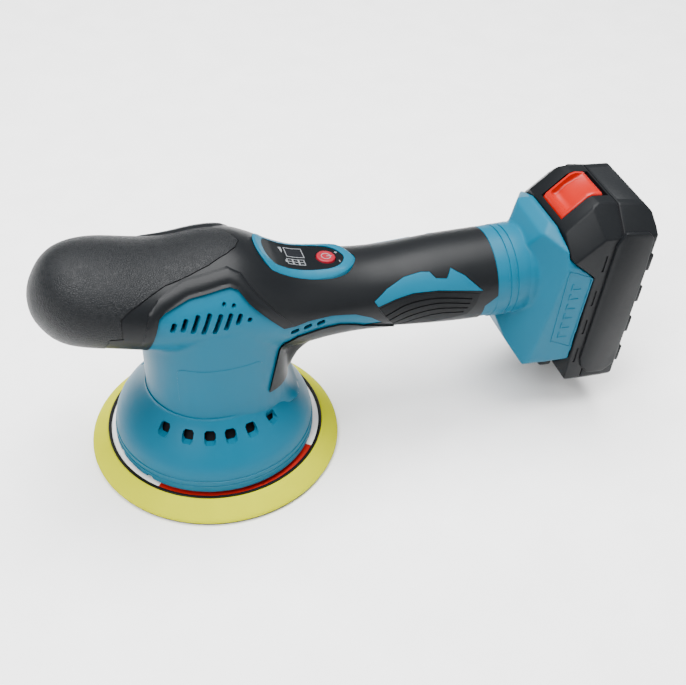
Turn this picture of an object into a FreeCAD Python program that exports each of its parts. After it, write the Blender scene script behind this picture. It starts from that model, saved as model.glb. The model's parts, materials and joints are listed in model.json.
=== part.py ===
import FreeCAD, Part
import math
import os
import Sketcher

# Dual action polisher, millimetres.
# +Z up. The drive axis is the Z axis and z = 0 is the hook face of the pad.
# +X runs along the handle to the battery pack. The tool is symmetrical about Y = 0.
# The foot and the pack lean back a little: they are drawn in an upright dock frame
# (u along X, w along Z) and placed at the dock point with the lean as their rotation.

Vector = FreeCAD.Vector
Rotation = FreeCAD.Rotation
Placement = FreeCAD.Placement

doc = FreeCAD.newDocument("polisher")
sheet = doc.addObject("Spreadsheet::Sheet", "Sizes")

SIZES = [
    # pad
    ("pad_radius", 75.4, "foam disc outer radius"),
    ("pad_edge", 74.4, "foam disc radius at the hook face"),
    ("hook_thick", 1.2, "hook disc thickness"),
    ("plate_radius", 65.2, "hard plate radius"),
    ("plate_low", 6.0, "underside of the hard plate"),
    ("plate_floor", 11.2, "top face inside the rim"),
    ("plate_rim_top", 12.9, "top of the rim"),
    ("rim_wide", 1.9, "width of the rim"),
    ("label_thick", 0.3, "printed ring thickness"),
    ("label_inner", 48.0, "printed ring inner radius"),
    ("orbit", 3.0, "offset between drive axis and pad axis"),
    ("orbit_angle", 72.7, "direction of the offset at rest"),
    ("spindle_radius", 6.0, "pad spindle radius"),
    # bell
    ("lip_radius", 59.6, "outer radius of the bell's lip"),
    ("lip_low", 14.8, "underside of the lip"),
    ("bell_wall", 2.4, "bell wall"),
    ("bell_top", 52.6, "top of the dome where the neck starts"),
    # neck and shells
    ("neck_radius", 38.5, "neck outer radius"),
    ("neck_back_x", 8.0, "centre of the neck's rear round"),
    ("neck_back_radius", 36.0, "radius of the neck's rear round"),
    ("neck_high", 112.0, "height to which the neck runs inside the head"),
    ("shell", 3.0, "wall of the housing"),
    ("skin", 1.3, "thickness of the moulded rubber layer"),
    ("grip_end", 165.5, "where the rubber layer ends at the collar"),
    ("width_all", 60.0, "more than half the tool's width, for cutting"),
    # motor
    ("shaft_radius", 4.0, "motor shaft radius"),
    ("stator_radius", 31.0, "stator outer radius"),
    ("stator_low", 75.0, "underside of the stator"),
    ("stator_high", 106.0, "top of the stator"),
    ("rotor_radius", 16.4, "rotor radius"),
    ("mount_low", 67.0, "underside of the motor mount"),
    ("mount_high", 71.0, "top of the motor mount"),
    ("cap_low", 112.0, "underside of the motor end cap"),
    ("cap_high", 120.0, "top of the motor end cap"),
    ("fan_radius", 33.0, "fan radius"),
    ("fan_low", 54.5, "underside of the fan"),
    ("fan_high", 63.5, "top of the fan"),
    # dock and pack
    ("dock_x", 218.5, "dock point along the handle"),
    ("dock_z", 74.0, "dock point height"),
    ("lean", 4.2, "lean of the foot and pack in degrees"),
    ("pack_gap", 0.3, "gap between foot and pack"),
    ("cell_radius", 9.1, "battery cell radius"),
    ("cell_long", 65.0, "battery cell length"),
    ("cell_step", 18.5, "battery cell spacing"),
]
# Sections of the head and handle: place along X, half width, middle height, half height.
SECTIONS = [
    (-93.6, 3.2, 126.0, 3.0),
    (-92.4, 8.6, 126.0, 8.2),
    (-90.0, 13.8, 126.2, 13.4),
    (-84.0, 22.6, 126.7, 21.6),
    (-75.0, 29.8, 127.2, 25.6),
    (-62.0, 35.0, 126.6, 26.0),
    (-48.0, 36.2, 123.6, 26.3),
    (-34.0, 36.8, 119.6, 26.3),
    (-20.0, 37.9, 117.0, 26.7),
    (-6.0, 38.6, 117.4, 28.8),
    (8.0, 38.5, 116.4, 30.9),
    (20.0, 37.8, 113.2, 31.3),
    (32.0, 36.0, 108.2, 29.6),
    (45.0, 33.0, 103.6, 26.2),
    (60.0, 29.9, 102.0, 23.1),
    (75.0, 28.0, 100.6, 21.6),
    (90.0, 26.9, 98.8, 20.9),
    (110.0, 26.4, 96.9, 22.6),
    (135.0, 27.1, 95.9, 25.6),
    (160.0, 27.3, 94.9, 26.3),
    (178.0, 27.0, 94.5, 26.7),
    (200.0, 27.0, 94.5, 26.7),
]
SECTION_WORDS = ("place", "half_wide", "middle", "half_high")

for row, (alias, number, note) in enumerate(SIZES, start=1):
    sheet.set("A%d" % row, alias)
    sheet.set("B%d" % row, str(number))
    sheet.set("C%d" % row, note)
    sheet.setAlias("B%d" % row, alias)
for count, section in enumerate(SECTIONS):
    row = len(SIZES) + 2 + count
    for column, word, number in zip("BCDE", SECTION_WORDS, section):
        sheet.set("%s%d" % (column, row), str(number))
        sheet.setAlias("%s%d" % (column, row), "section_%s_%s" % (word, chr(ord("a") + count)))
doc.recompute()


class Size:
    """A length with its spreadsheet expression, so that features stay bound to the sheet."""

    def __init__(self, text, number):
        self.text = text
        self.number = number

    def _join(self, sign, other, number):
        other = as_size(other)
        return Size("(%s %s %s)" % (self.text, sign, other.text), number)

    def __add__(self, other):
        return self._join("+", other, self.number + as_size(other).number)

    def __sub__(self, other):
        return self._join("-", other, self.number - as_size(other).number)

    def __mul__(self, other):
        return self._join("*", other, self.number * as_size(other).number)

    def __neg__(self):
        return Size("(0 - %s)" % self.text, -self.number)


def as_size(value):
    """Turn a plain number into a Size."""
    return value if isinstance(value, Size) else Size("(%r)" % float(value), float(value))


def cell(alias):
    """The Size held in the sheet's cell of that alias."""
    return Size("Sizes.%s" % alias, float(sheet.get(alias)))


def bind(item, prop, value):
    """Set a property from a Size through an expression, or from a plain number."""
    if isinstance(value, Size):
        item.setExpression(prop, value.text)
    elif prop.startswith("Placement.Base."):
        base = item.Placement.Base
        setattr(base, prop[-1], value)
        item.Placement.Base = base
    else:
        setattr(item, prop, value)


def move(item, x=0.0, y=0.0, z=0.0):
    """Bind the three coordinates of an object's place."""
    for axis, value in zip("xyz", (x, y, z)):
        bind(item, "Placement.Base.%s" % axis, value)
    return item


def draw(sketch, outline):
    """Draw a closed outline of straight edges, each corner held by two bound distances."""
    corners = [(as_size(across), as_size(up)) for across, up in outline]
    places = [Vector(across.number, up.number, 0) for across, up in corners]
    total = len(places)
    for index in range(total):
        sketch.addGeometry(Part.LineSegment(places[index], places[(index + 1) % total]), False)
    for index in range(total):
        sketch.addConstraint(Sketcher.Constraint("Coincident", index, 2, (index + 1) % total, 1))
    for index, corner in enumerate(corners):
        for kind, value in zip(("DistanceX", "DistanceY"), corner):
            if abs(value.number) < 1e-9:
                axis = -2 if kind == "DistanceX" else -1
                sketch.addConstraint(Sketcher.Constraint("PointOnObject", index, 1, axis))
                continue
            held = sketch.addConstraint(
                Sketcher.Constraint(kind, -1, 1, index, 1, value.number))
            sketch.setExpression("Constraints[%d]" % held, value.text)
    return sketch


def origin_plane(body, role):
    """The origin plane of a body with that role."""
    return next(item for item in body.Origin.OriginFeatures if item.Role == role)


def turned(name, outline):
    """A turned piece: a body with one revolution of an outline of (radius, height)."""
    body = doc.addObject("PartDesign::Body", name)
    sketch = body.newObject("Sketcher::SketchObject", name + "_outline")
    sketch.AttachmentSupport = (origin_plane(body, "XZ_Plane"), [""])
    sketch.MapMode = "FlatFace"
    draw(sketch, outline)
    turn = body.newObject("PartDesign::Revolution", name + "_turn")
    turn.Profile = sketch
    turn.ReferenceAxis = (sketch, ["V_Axis"])
    turn.Angle = 360
    return body


# Extrusion direction and sketch turn for each plane.
PLANES = {
    "XZ": (Vector(0, 1, 0), Rotation(Vector(1, 0, 0), 90)),
    "XY": (Vector(0, 0, 1), Rotation()),
    "YZ": (Vector(1, 0, 0), Rotation(Vector(1, 1, 1), 120)),
}


def prism(name, plane, outline, low, high):
    """A straight block of an outline drawn in a plane, from low to high across that plane."""
    direction, turn = PLANES[plane]
    sketch = doc.addObject("Sketcher::SketchObject", name + "_outline")
    sketch.Placement = Placement(Vector(), turn)
    draw(sketch, outline)
    block = doc.addObject("Part::Extrusion", name)
    block.Base = sketch
    block.DirMode = "Custom"
    block.Dir = direction
    block.Solid = True
    bind(block, "LengthFwd", high)
    bind(block, "LengthRev", -low if isinstance(low, Size) else -float(low))
    return block


def box(name, low, high):
    """A box between two corners."""
    block = doc.addObject("Part::Box", name)
    sizes = [as_size(top) - as_size(base) for base, top in zip(low, high)]
    for prop, size in zip(("Length", "Width", "Height"), sizes):
        bind(block, prop, size)
    return move(block, *low)


AXIS_TURN = {
    "z": Rotation(),
    "y": Rotation(Vector(1, 0, 0), -90),
    "x": Rotation(Vector(0, 1, 0), 90),
}


def rod(name, radius, length, place, axis="z"):
    """A cylinder from a place along an axis."""
    item = doc.addObject("Part::Cylinder", name)
    bind(item, "Radius", radius)
    bind(item, "Height", length)
    item.Placement.Rotation = AXIS_TURN[axis]
    return move(item, *place)


def fuse(name, items):
    """Join several objects."""
    item = doc.addObject("Part::MultiFuse", name)
    item.Shapes = items
    return item


def cut(name, base, *tools):
    """Cut tools, one or several, out of a base."""
    item = doc.addObject("Part::Cut", name)
    item.Base = base
    item.Tool = tools[0] if len(tools) == 1 else fuse(name + "_tools", list(tools))
    return item


def common(name, *items):
    """What several objects share."""
    item = doc.addObject("Part::MultiCommon", name)
    item.Shapes = list(items)
    return item


def mirrored(name, base):
    """The other side's copy of a piece, mirrored in Y = 0."""
    item = doc.addObject("Part::Mirroring", name)
    item.Source = base
    item.Base = Vector(0, 0, 0)
    item.Normal = Vector(0, 1, 0)
    return item


def group(name, items):
    """Separate solids that share one node."""
    item = doc.addObject("Part::Compound", name)
    item.Links = items
    return item


def at_dock(item):
    """Place an object drawn in the dock frame."""
    item.Placement.Rotation = Rotation(Vector(0, 1, 0), cell("lean").number)
    return move(item, cell("dock_x"), 0.0, cell("dock_z"))


parts = {}


def node(name, item):
    """Name an object as a sub-part."""
    item.Label = name
    parts[name] = item
    return item


wide = cell("width_all")

# ---------------------------------------------------------------- head and handle


def tube(name, inset):
    """The head and handle as a loft of ellipses, taken in by an inset all round."""
    rings = []
    for count in range(len(SECTIONS)):
        if SECTIONS[count][3] <= inset + 3.0:
            continue
        letter = chr(ord("a") + count)
        place, half_wide, middle, half_high = [
            cell("section_%s_%s" % (word, letter)) for word in SECTION_WORDS]
        ring = doc.addObject("Part::Ellipse", "%s_ring_%s" % (name, letter))
        bind(ring, "MajorRadius", half_wide - inset)
        bind(ring, "MinorRadius", half_high - inset)
        ring.Placement.Rotation = Rotation(Vector(1, 1, 1), 120)
        move(ring, place, 0.0, middle)
        rings.append(ring)
    loft = doc.addObject("Part::Loft", name)
    loft.Sections = rings
    loft.Solid = True
    loft.Ruled = False
    return loft


WEB_TOP = 96.0
WEB_HALF = 15.0


def web_outline(inset):
    """The web that flares from the back of the neck into the handle's underside."""
    return [(30.0, 56.0), (44.3 - inset, 56.0), (45.6 - inset, 64.0), (49.0 - inset, 71.0),
            (55.0 - inset, 76.5 + inset), (66.0, 79.4 + inset), (78.0, 80.0 + inset),
            (78.0, WEB_TOP), (30.0, WEB_TOP)]


def trunk(name, inset):
    """Head, handle, neck and web in one solid, taken in by an inset."""
    low = cell("bell_top")
    tall = cell("neck_high") - low
    neck = rod(name + "_neck", cell("neck_radius") - inset, tall, (0.0, 0.0, low))
    back = rod(name + "_back", cell("neck_back_radius") - inset, tall,
               (cell("neck_back_x"), 0.0, low))
    web = prism(name + "_web", "XZ", web_outline(inset), -WEB_HALF + inset, WEB_HALF - inset)
    return common(name, fuse(name + "_whole", [tube(name + "_tube", inset), neck, back, web]),
                  left_half)


left_half = box("left_half", (-120.0, -wide, 30.0), (280.0, 0.0, 180.0))
shell = cell("shell")
skin = cell("skin")
trunk_outer = trunk("trunk_outer", 0.0)
trunk_skin = trunk("trunk_skin", skin.number)
trunk_inner = trunk("trunk_inner", shell.number)

# The foot in the dock frame: a side outline crossed with a front outline.
FOOT_SIDE = [(-53.0, -10.0), (-30.0, -36.0), (-24.0, -40.0), (0.0, -40.0), (0.0, 32.0),
             (-19.0, 45.0), (-21.5, 57.0), (-26.0, 58.5), (-34.0, 52.0), (-38.5, 42.0),
             (-46.0, 36.0)]
FOOT_FRONT = [(-21.0, 59.0), (-30.0, 53.0), (-36.5, 43.0), (-36.5, -31.0), (-28.0, -41.0),
              (28.0, -41.0), (36.5, -31.0), (36.5, 43.0), (30.0, 53.0), (21.0, 59.0)]
FOOT_SIDE_INNER = [(-46.0, -6.0), (-27.0, -33.0), (-22.0, -37.0), (-3.0, -37.0), (-3.0, 30.0),
                   (-21.5, 43.0), (-24.5, 54.0), (-27.0, 55.0), (-31.5, 50.5), (-35.5, 40.0)]
FOOT_FRONT_INNER = [(-19.5, 56.0), (-28.0, 50.6), (-33.5, 42.0), (-33.5, -29.5), (-26.5, -38.0),
                    (26.5, -38.0), (33.5, -29.5), (33.5, 42.0), (28.0, 50.6), (19.5, 56.0)]
FOOT_DEEP = 60.0


def crossed(name, side, front):
    """A block with one outline seen from the side and another seen from the front."""
    return common(name, prism(name + "_side", "XZ", side, -wide, wide),
                  prism(name + "_front", "YZ", front, -FOOT_DEEP, FOOT_DEEP))


foot_outer = at_dock(crossed("foot_outer", FOOT_SIDE, FOOT_FRONT))
foot_inner = at_dock(crossed("foot_inner", FOOT_SIDE_INNER, FOOT_FRONT_INNER))

# The shells are made for one side and mirrored for the other.
body_outer = fuse("body_outer", [trunk_outer, common("foot_outer_half", foot_outer, left_half)])
body_inner = fuse("body_inner", [trunk_inner, common("foot_inner_half", foot_inner, left_half)])
body_shell = cut("body_shell", body_outer, body_inner)

# ---------------------------------------------------------------- colour zones
# Side outline of the bare housing: cheek, neck and the arm under the handle.
CHEEK = [(-39.5, 40.0), (-39.5, 97.0), (-37.1, 109.8), (-30.9, 129.1), (-27.5, 131.5),
         (-14.2, 135.6), (2.6, 137.6), (7.5, 137.8), (11.5, 136.0), (16.4, 128.8),
         (34.9, 107.8), (49.4, 107.2), (63.8, 105.9), (78.2, 102.6), (88.0, 97.4), (95.0, 91.6),
         (84.0, 91.2), (78.9, 94.4), (68.8, 98.1), (56.7, 98.9), (43.4, 98.1), (36.1, 93.7),
         (31.0, 78.0), (26.3, 62.5), (47.0, 58.6), (60.0, 58.0), (60.0, 40.0)]
# Side outline of all that the rubber layer may cover.
GRIP_ZONE = [(-100.0, 40.0), (-100.0, 170.0), (cell("grip_end"), 170.0), (cell("grip_end"), 97.0),
             (158.0, 91.0), (158.0, 40.0)]
# The grained front cover: a tongue seen from above, and the nose seen from the side.
COVER_TOP = [(-70.0, -45.0), (-54.0, -45.0), (-50.0, -34.5), (-39.4, -30.2), (-24.6, -22.4),
             (-11.7, -19.6), (-0.5, -16.6), (10.3, -11.0), (16.0, -6.0), (18.8, 0.0),
             (16.0, 6.0), (10.3, 11.0), (-0.5, 16.6), (-11.7, 19.6), (-24.6, 22.4),
             (-39.4, 30.2), (-50.0, 34.5), (-54.0, 45.0), (-70.0, 45.0)]
COVER_SIDE = [(-100.0, 80.0), (-62.5, 80.0), (-59.4, 113.0), (-56.0, 124.0), (-54.0, 127.0),
              (-54.0, 170.0), (-100.0, 170.0)]
COVER_LOW = 124.0
# Inlay and grip pad on each side of the handle.
CRESCENT = [(89.9, 107.1), (98.1, 111.4), (109.2, 114.6), (120.0, 115.6), (124.9, 115.2),
            (127.9, 112.4), (134.3, 111.6), (137.7, 115.6), (145.5, 111.6), (155.5, 102.5),
            (141.6, 104.9), (128.4, 106.9), (113.0, 107.6), (102.5, 106.3), (91.8, 104.0)]
GRIP_PAD = [(92.5, 103.0), (102.5, 105.3), (113.0, 106.4), (128.4, 105.7), (141.6, 103.7),
            (153.7, 101.2), (151.5, 94.0), (147.5, 86.3), (127.9, 83.0), (104.0, 84.6)]

cheek_zone = prism("cheek_zone", "XZ", CHEEK, -wide, wide)
grip_zone = prism("grip_zone", "XZ", GRIP_ZONE, -wide, wide)
cover_zone = fuse("cover_zone", [
    prism("cover_top", "XY", COVER_TOP, COVER_LOW, 170.0),
    prism("cover_side", "XZ", COVER_SIDE, -wide, wide)])
crescent_zone = prism("crescent_zone", "XZ", CRESCENT, -wide, wide)
pad_zone = prism("pad_zone", "XZ", GRIP_PAD, -wide, wide)

# Control panel: a plan outline and a side band that follows the top of the tool.
BEZEL_PLAN = [(27.6, 0.0), (28.4, -7.6), (31.5, -14.4), (37.5, -17.0), (60.0, -16.4),
              (72.0, -14.6), (79.5, -10.8), (84.7, -3.4), (85.5, 0.0), (84.7, 3.4),
              (79.5, 10.8), (72.0, 14.6), (60.0, 16.4), (37.5, 17.0), (31.5, 14.4), (28.4, 7.6)]
FILM_PLAN = [(32.2, 0.0), (32.8, -6.0), (35.0, -10.8), (39.5, -12.2), (60.0, -11.8),
             (70.0, -10.4), (75.6, -6.9), (78.4, -2.3), (78.8, 0.0), (78.4, 2.3),
             (75.6, 6.9), (70.0, 10.4), (60.0, 11.8), (39.5, 12.2), (35.0, 10.8), (32.8, 6.0)]
PANEL_LINE = [(24.0, 143.9), (28.0, 140.9), (32.6, 137.1), (38.0, 133.1), (44.0, 129.7),
              (50.5, 127.2), (58.0, 125.4), (66.0, 124.1), (74.0, 123.1), (82.0, 122.2),
              (90.0, 121.5)]
BEZEL_PROUD = 1.0
BEZEL_DEEP = 3.2
FILM_THICK = 0.5


def band(low, high):
    """A strip under and over the panel line, as a side outline."""
    return ([(along, up + low) for along, up in PANEL_LINE]
            + [(along, up + high) for along, up in reversed(PANEL_LINE)])


def panel_slab(name, plan, low, high):
    """A piece of the panel: a plan outline cut to a strip along the panel line."""
    return common(name, prism(name + "_plan", "XY", plan, 100.0, 170.0),
                  prism(name + "_band", "XZ", band(low, high), -wide, wide))


panel_block = panel_slab("panel_block", BEZEL_PLAN, -BEZEL_DEEP, 12.0)

# Vent slots: slanted louvres in the cheek and three small ones in the arm.
SLOT_WIDE = 2.5
SLOT_STEP = 5.75
SLOT_LEAN = 24.0
SLOT_FIRST_X = -24.3
SLOT_LENGTHS = (5.5, 7.6, 10.8, 12.4, 11.9, 10.0, 6.6, 2.8)
SLOT_MIDDLES = (122.6, 123.0, 122.6, 121.9, 120.8, 121.1, 121.4, 119.8)
UPPER_SLOTS = ((3.2, 130.4), (8.2, 128.9))
ARM_SLOTS = ((41.6, 103.0), (49.3, 103.4), (57.2, 103.1))


def slot(name, middle, sizes, lean):
    """A straight cutter across the whole tool, leaning in the side view."""
    long, tall = sizes
    cutter = prism(name, "XZ", [(-long / 2, -tall / 2), (long / 2, -tall / 2),
                                (long / 2, tall / 2), (-long / 2, tall / 2)], -wide, wide)
    cutter.Placement = Placement(Vector(middle[0], 0, middle[1]), Rotation(Vector(0, 1, 0), lean))
    return cutter


slots = [slot("louvre_slot_%d" % count, (SLOT_FIRST_X + SLOT_STEP * count, SLOT_MIDDLES[count]),
              (SLOT_WIDE, length), SLOT_LEAN) for count, length in enumerate(SLOT_LENGTHS)]
slots += [slot("upper_slot_%d" % count, place, (2.0, 2.2), SLOT_LEAN)
          for count, place in enumerate(UPPER_SLOTS)]
slots += [slot("arm_slot_%d" % count, place, (4.4, 1.8), -8.0)
          for count, place in enumerate(ARM_SLOTS)]

# ---------------------------------------------------------------- screws along Y
# Screw places on the parting plane: along X, height.
HOUSING_SCREWS = ((-72.0, 127.0), (54.0, 86.5), (122.0, 82.5), (153.0, 80.5),
                  (196.0, 50.0), (190.0, 114.0))
BOSS_RADIUS = 3.8
SCREW_RADIUS = 1.5
HEAD_RADIUS = 2.9
HEAD_SEAT = 9.0
HEAD_TALL = 2.4
SCREW_END = -12.0

bosses = []
holes = []
wells = []
screws = []
for count, (along, up) in enumerate(HOUSING_SCREWS):
    bosses.append(rod("boss_%d" % count, BOSS_RADIUS, wide * 2, (along, -wide, up), "y"))
    hole = rod("screw_hole_%d" % count, SCREW_RADIUS, HEAD_SEAT - SCREW_END + 1.0,
               (along, SCREW_END, up), "y")
    well = rod("screw_well_%d" % count, HEAD_RADIUS, wide, (along, HEAD_SEAT, up), "y")
    holes.append(hole)
    wells.append(well)
    shank = rod("screw_shank_%d" % count, SCREW_RADIUS, HEAD_SEAT - SCREW_END,
                (along, SCREW_END, up), "y")
    head = rod("screw_head_%d" % count, HEAD_RADIUS, HEAD_TALL, (along, HEAD_SEAT, up), "y")
    screws.append(fuse("screw_%d" % count, [shank, head]))
node("housing_screws", group("housing_screws", screws))

# ---------------------------------------------------------------- dock opening
CHANNEL_HALF = 28.0
CHANNEL_DEEP = -12.4
STOP_HALF = 15.0
dock_opening = at_dock(fuse("dock_opening", [
    box("dock_opening_block", (CHANNEL_DEEP, -CHANNEL_HALF, -38.0), (1.0, CHANNEL_HALF, 46.0)),
    box("stop_opening", (-9.6, -STOP_HALF - 0.2, -43.0), (1.0, STOP_HALF + 0.2, -37.0))]))

# ---------------------------------------------------------------- push button's place
BUTTON_PLACE = (68.4, 123.8)
BUTTON_LEAN = 7.0
BUTTON_RADIUS = 5.7
BUTTON_GAP = 0.25
BUTTON_PROUD = 0.9
BUTTON_TALL = 5.0
FLANGE_WIDE = 1.2


def on_panel(item, shift=0.0):
    """Stand an object on the panel's button axis, shifted along it."""
    turn = Rotation(Vector(0, 1, 0), BUTTON_LEAN)
    up = turn.multVec(Vector(0, 0, shift))
    item.Placement = Placement(Vector(BUTTON_PLACE[0], 0, BUTTON_PLACE[1]) + up, turn)
    return item


def panel_rod(name, radius, low, high):
    """A cylinder on the button axis between two heights over the panel line."""
    item = doc.addObject("Part::Cylinder", name)
    item.Radius = radius
    item.Height = high - low
    return on_panel(item, low)


button_well = panel_rod("button_well", BUTTON_RADIUS + FLANGE_WIDE + BUTTON_GAP * 2, -12.0, 6.0)

# ---------------------------------------------------------------- shells
boss_bars = common("boss_bars", fuse("boss_rods", bosses), body_outer)
housing_solid = fuse("housing_solid", [body_shell, boss_bars])
layer = common("rubber_layer", cut("rubber_shell", trunk_outer, trunk_skin), grip_zone)
rubber_all = cut("rubber_all", layer, cheek_zone)
housing_cuts = fuse("housing_cuts", [rubber_all, panel_block, dock_opening, button_well]
                    + slots + holes)
housing_left = node("housing_left", cut("housing_left", housing_solid, housing_cuts))
well_cuts = fuse("well_cuts", wells)
node("housing_right", cut("housing_right", mirrored("housing_far", housing_left), well_cuts))

cover_left = common("cover_left", rubber_all, cover_zone)
node("front_cover", fuse("front_cover", [cover_left, mirrored("cover_right", cover_left)]))
inlay_zone = fuse("inlay_zone", [crescent_zone, pad_zone])
overmould = cut("overmould", rubber_all,
                fuse("overmould_cuts", [cover_zone, panel_block, inlay_zone, button_well]))
spine_zone = prism("spine_zone", "XZ", [
    (26.0, 50.0), (26.0, 62.5), (31.0, 78.0), (36.1, 93.7), (43.4, 98.1),
    (56.7, 98.9), (68.8, 98.1), (78.9, 94.4), (84.0, 91.2), (92.0, 91.2), (104.0, 84.0),
    (112.0, 70.0), (112.0, 50.0)], -wide, wide)
overmould_left = node("overmould_left", cut("overmould_left", overmould, spine_zone))
node("overmould_right", cut("overmould_right", mirrored("overmould_far", overmould_left),
                            well_cuts))
spine_left = common("spine_left", overmould, spine_zone)
spine_right = cut("spine_right", mirrored("spine_far", spine_left), well_cuts)
node("neck_spine", fuse("neck_spine", [spine_left, spine_right]))
crescent_left = common("crescent_left", rubber_all, crescent_zone)
node("crescent_inlays", group("crescent_inlays", [
    crescent_left, mirrored("crescent_right", crescent_left)]))
grip_left = cut("grip_left", common("grip_blank", rubber_all, pad_zone), crescent_zone)
grip_right = cut("grip_right", mirrored("grip_far", grip_left), well_cuts)
node("grip_pads", group("grip_pads", [grip_left, grip_right]))

# ---------------------------------------------------------------- control panel
film_pocket = panel_slab("film_pocket", FILM_PLAN, -FILM_THICK, 12.0)
button_hole = panel_rod("button_hole", BUTTON_RADIUS + BUTTON_GAP, -8.0, 4.0)
bezel_blank = panel_slab("bezel_blank", BEZEL_PLAN, -BEZEL_DEEP, BEZEL_PROUD)
window_hole = box("window_hole", (40.5, -8.6, 110.0), (57.6, 8.6, 150.0))
node("panel_bezel", cut("panel_bezel", bezel_blank, film_pocket, button_hole, window_hole))
film_hole = panel_rod("film_hole", BUTTON_RADIUS + BUTTON_GAP, -8.0, 4.0)
node("panel_film", cut("panel_film", panel_slab("film_blank", FILM_PLAN, -FILM_THICK, 0.0),
                       film_hole))
WINDOW_PLAN = [(40.8, -8.3), (57.3, -8.3), (57.3, 8.3), (40.8, 8.3)]
node("display_module", panel_slab("display_module", WINDOW_PLAN, -BEZEL_DEEP, -FILM_THICK))
BOARD_PLAN = [(38.0, -11.0), (78.0, -11.0), (78.0, 11.0), (38.0, 11.0)]
BOARD_DROP = 8.0
BOARD_THICK = 1.6
display_board = node("display_board", panel_slab(
    "display_board", BOARD_PLAN, -BOARD_DROP - BOARD_THICK, -BOARD_DROP))
button_cap = panel_rod("button_cap", BUTTON_RADIUS, -BUTTON_TALL + BUTTON_PROUD, BUTTON_PROUD)
button_flange = panel_rod("button_flange", BUTTON_RADIUS + FLANGE_WIDE, -4.6, -3.9)
node("power_button", fuse("power_button", [button_cap, button_flange]))
switch_body = panel_rod("switch_body", 3.0, -BOARD_DROP + 0.25, -5.8)
node("button_switch", switch_body)

# ---------------------------------------------------------------- bell shroud
lip = cell("lip_radius")
lip_low = cell("lip_low")
wall = cell("bell_wall")
bell_top = cell("bell_top")
neck_r = cell("neck_radius")
bell_blank = turned("bell_blank", [
    (lip, lip_low), (lip, lip_low + 4.4), (lip - 0.5, lip_low + 4.6), (lip - 0.5, lip_low + 7.6),
    (lip - 0.9, lip_low + 7.9), (lip - 1.6, lip_low + 12.0), (lip - 3.3, lip_low + 16.0),
    (lip - 6.2, lip_low + 20.4), (lip - 9.8, lip_low + 24.8), (lip - 13.8, lip_low + 29.2),
    (lip - 17.6, lip_low + 33.2), (neck_r + 0.8, bell_top - 1.6), (neck_r + 0.4, bell_top),
    (neck_r - 3.4, bell_top), (neck_r - 3.4, bell_top - 3.4), (lip - 20.0, lip_low + 31.6),
    (lip - 16.0, lip_low + 27.6), (lip - 12.0, lip_low + 23.2), (lip - 8.4, lip_low + 18.8),
    (lip - 5.7, lip_low + 14.6), (lip - 4.2, lip_low + 11.0), (lip - wall - 0.9, lip_low + 7.0),
    (lip - wall - 0.5, lip_low + 2.0), (lip - wall, lip_low)])
VENT_ANGLES = (-139.0, -120.0, -104.0, -89.0, -73.0, -54.0)
VENT_WIDE = 6.4
VENT_LOW = 41.4
VENT_HIGH = 47.4
vents = []
for count, angle in enumerate(VENT_ANGLES + tuple(-angle for angle in VENT_ANGLES)):
    vent = doc.addObject("Part::Box", "vent_%d" % count)
    vent.Length = 30.0
    vent.Width = VENT_WIDE
    vent.Height = VENT_HIGH - VENT_LOW
    turn = Rotation(Vector(0, 0, 1), angle)
    vent.Placement = Placement(turn.multVec(Vector(28.0, -VENT_WIDE / 2, VENT_LOW)), turn)
    vents.append(vent)
NOTCH_ANGLES = (-141.0, -167.0)
NOTCH_RADIUS = 2.4
notches = []
for count, angle in enumerate(NOTCH_ANGLES):
    notch = doc.addObject("Part::Cylinder", "notch_%d" % count)
    notch.Radius = NOTCH_RADIUS
    notch.Height = 12.0
    turn = Rotation(Vector(0, 0, 1), angle).multiply(Rotation(Vector(0, 1, 0), 90))
    reach = Rotation(Vector(0, 0, 1), angle).multVec(Vector(52.0, 0, 0))
    notch.Placement = Placement(reach + Vector(0, 0, lip_low.number), turn)
    notches.append(notch)
# Behind the neck the shroud rises as a saddle to meet the neck's rear round.
SADDLE_LOW = 38.0
saddle = rod("saddle", cell("neck_back_radius"), bell_top - SADDLE_LOW,
             (cell("neck_back_x"), 0.0, SADDLE_LOW))
saddle_bore = rod("saddle_bore", cell("neck_back_radius") - shell, 20.0,
                  (cell("neck_back_x"), 0.0, SADDLE_LOW))
bell_inside = turned("bell_inside", [
    (0.0, lip_low - 1.0), (lip - wall, lip_low - 1.0), (lip - wall, lip_low),
    (lip - wall - 0.5, lip_low + 2.0), (lip - wall - 0.9, lip_low + 7.0),
    (lip - 4.2, lip_low + 11.0), (lip - 5.7, lip_low + 14.6), (lip - 8.4, lip_low + 18.8),
    (lip - 12.0, lip_low + 23.2), (lip - 16.0, lip_low + 27.6), (lip - 20.0, lip_low + 31.6),
    (neck_r - 3.4, bell_top - 3.4), (neck_r - 3.4, bell_top + 1.0), (0.0, bell_top + 1.0)])
saddle_wall = cut("saddle_wall", saddle, saddle_bore, bell_inside)
node("bell_shroud", cut("bell_shroud", fuse("bell_whole", [bell_blank, saddle_wall]),
                        *(vents + notches)))

# ---------------------------------------------------------------- motor
shaft_r = cell("shaft_radius")
stator_r = cell("stator_radius")
stator_low = cell("stator_low")
stator_high = cell("stator_high")
mount_low = cell("mount_low")
mount_high = cell("mount_high")
cap_low = cell("cap_low")
cap_high = cell("cap_high")
BEARING_RADIUS = 11.0
BEARING_TALL = 7.0
RUNNING = 0.03

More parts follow.
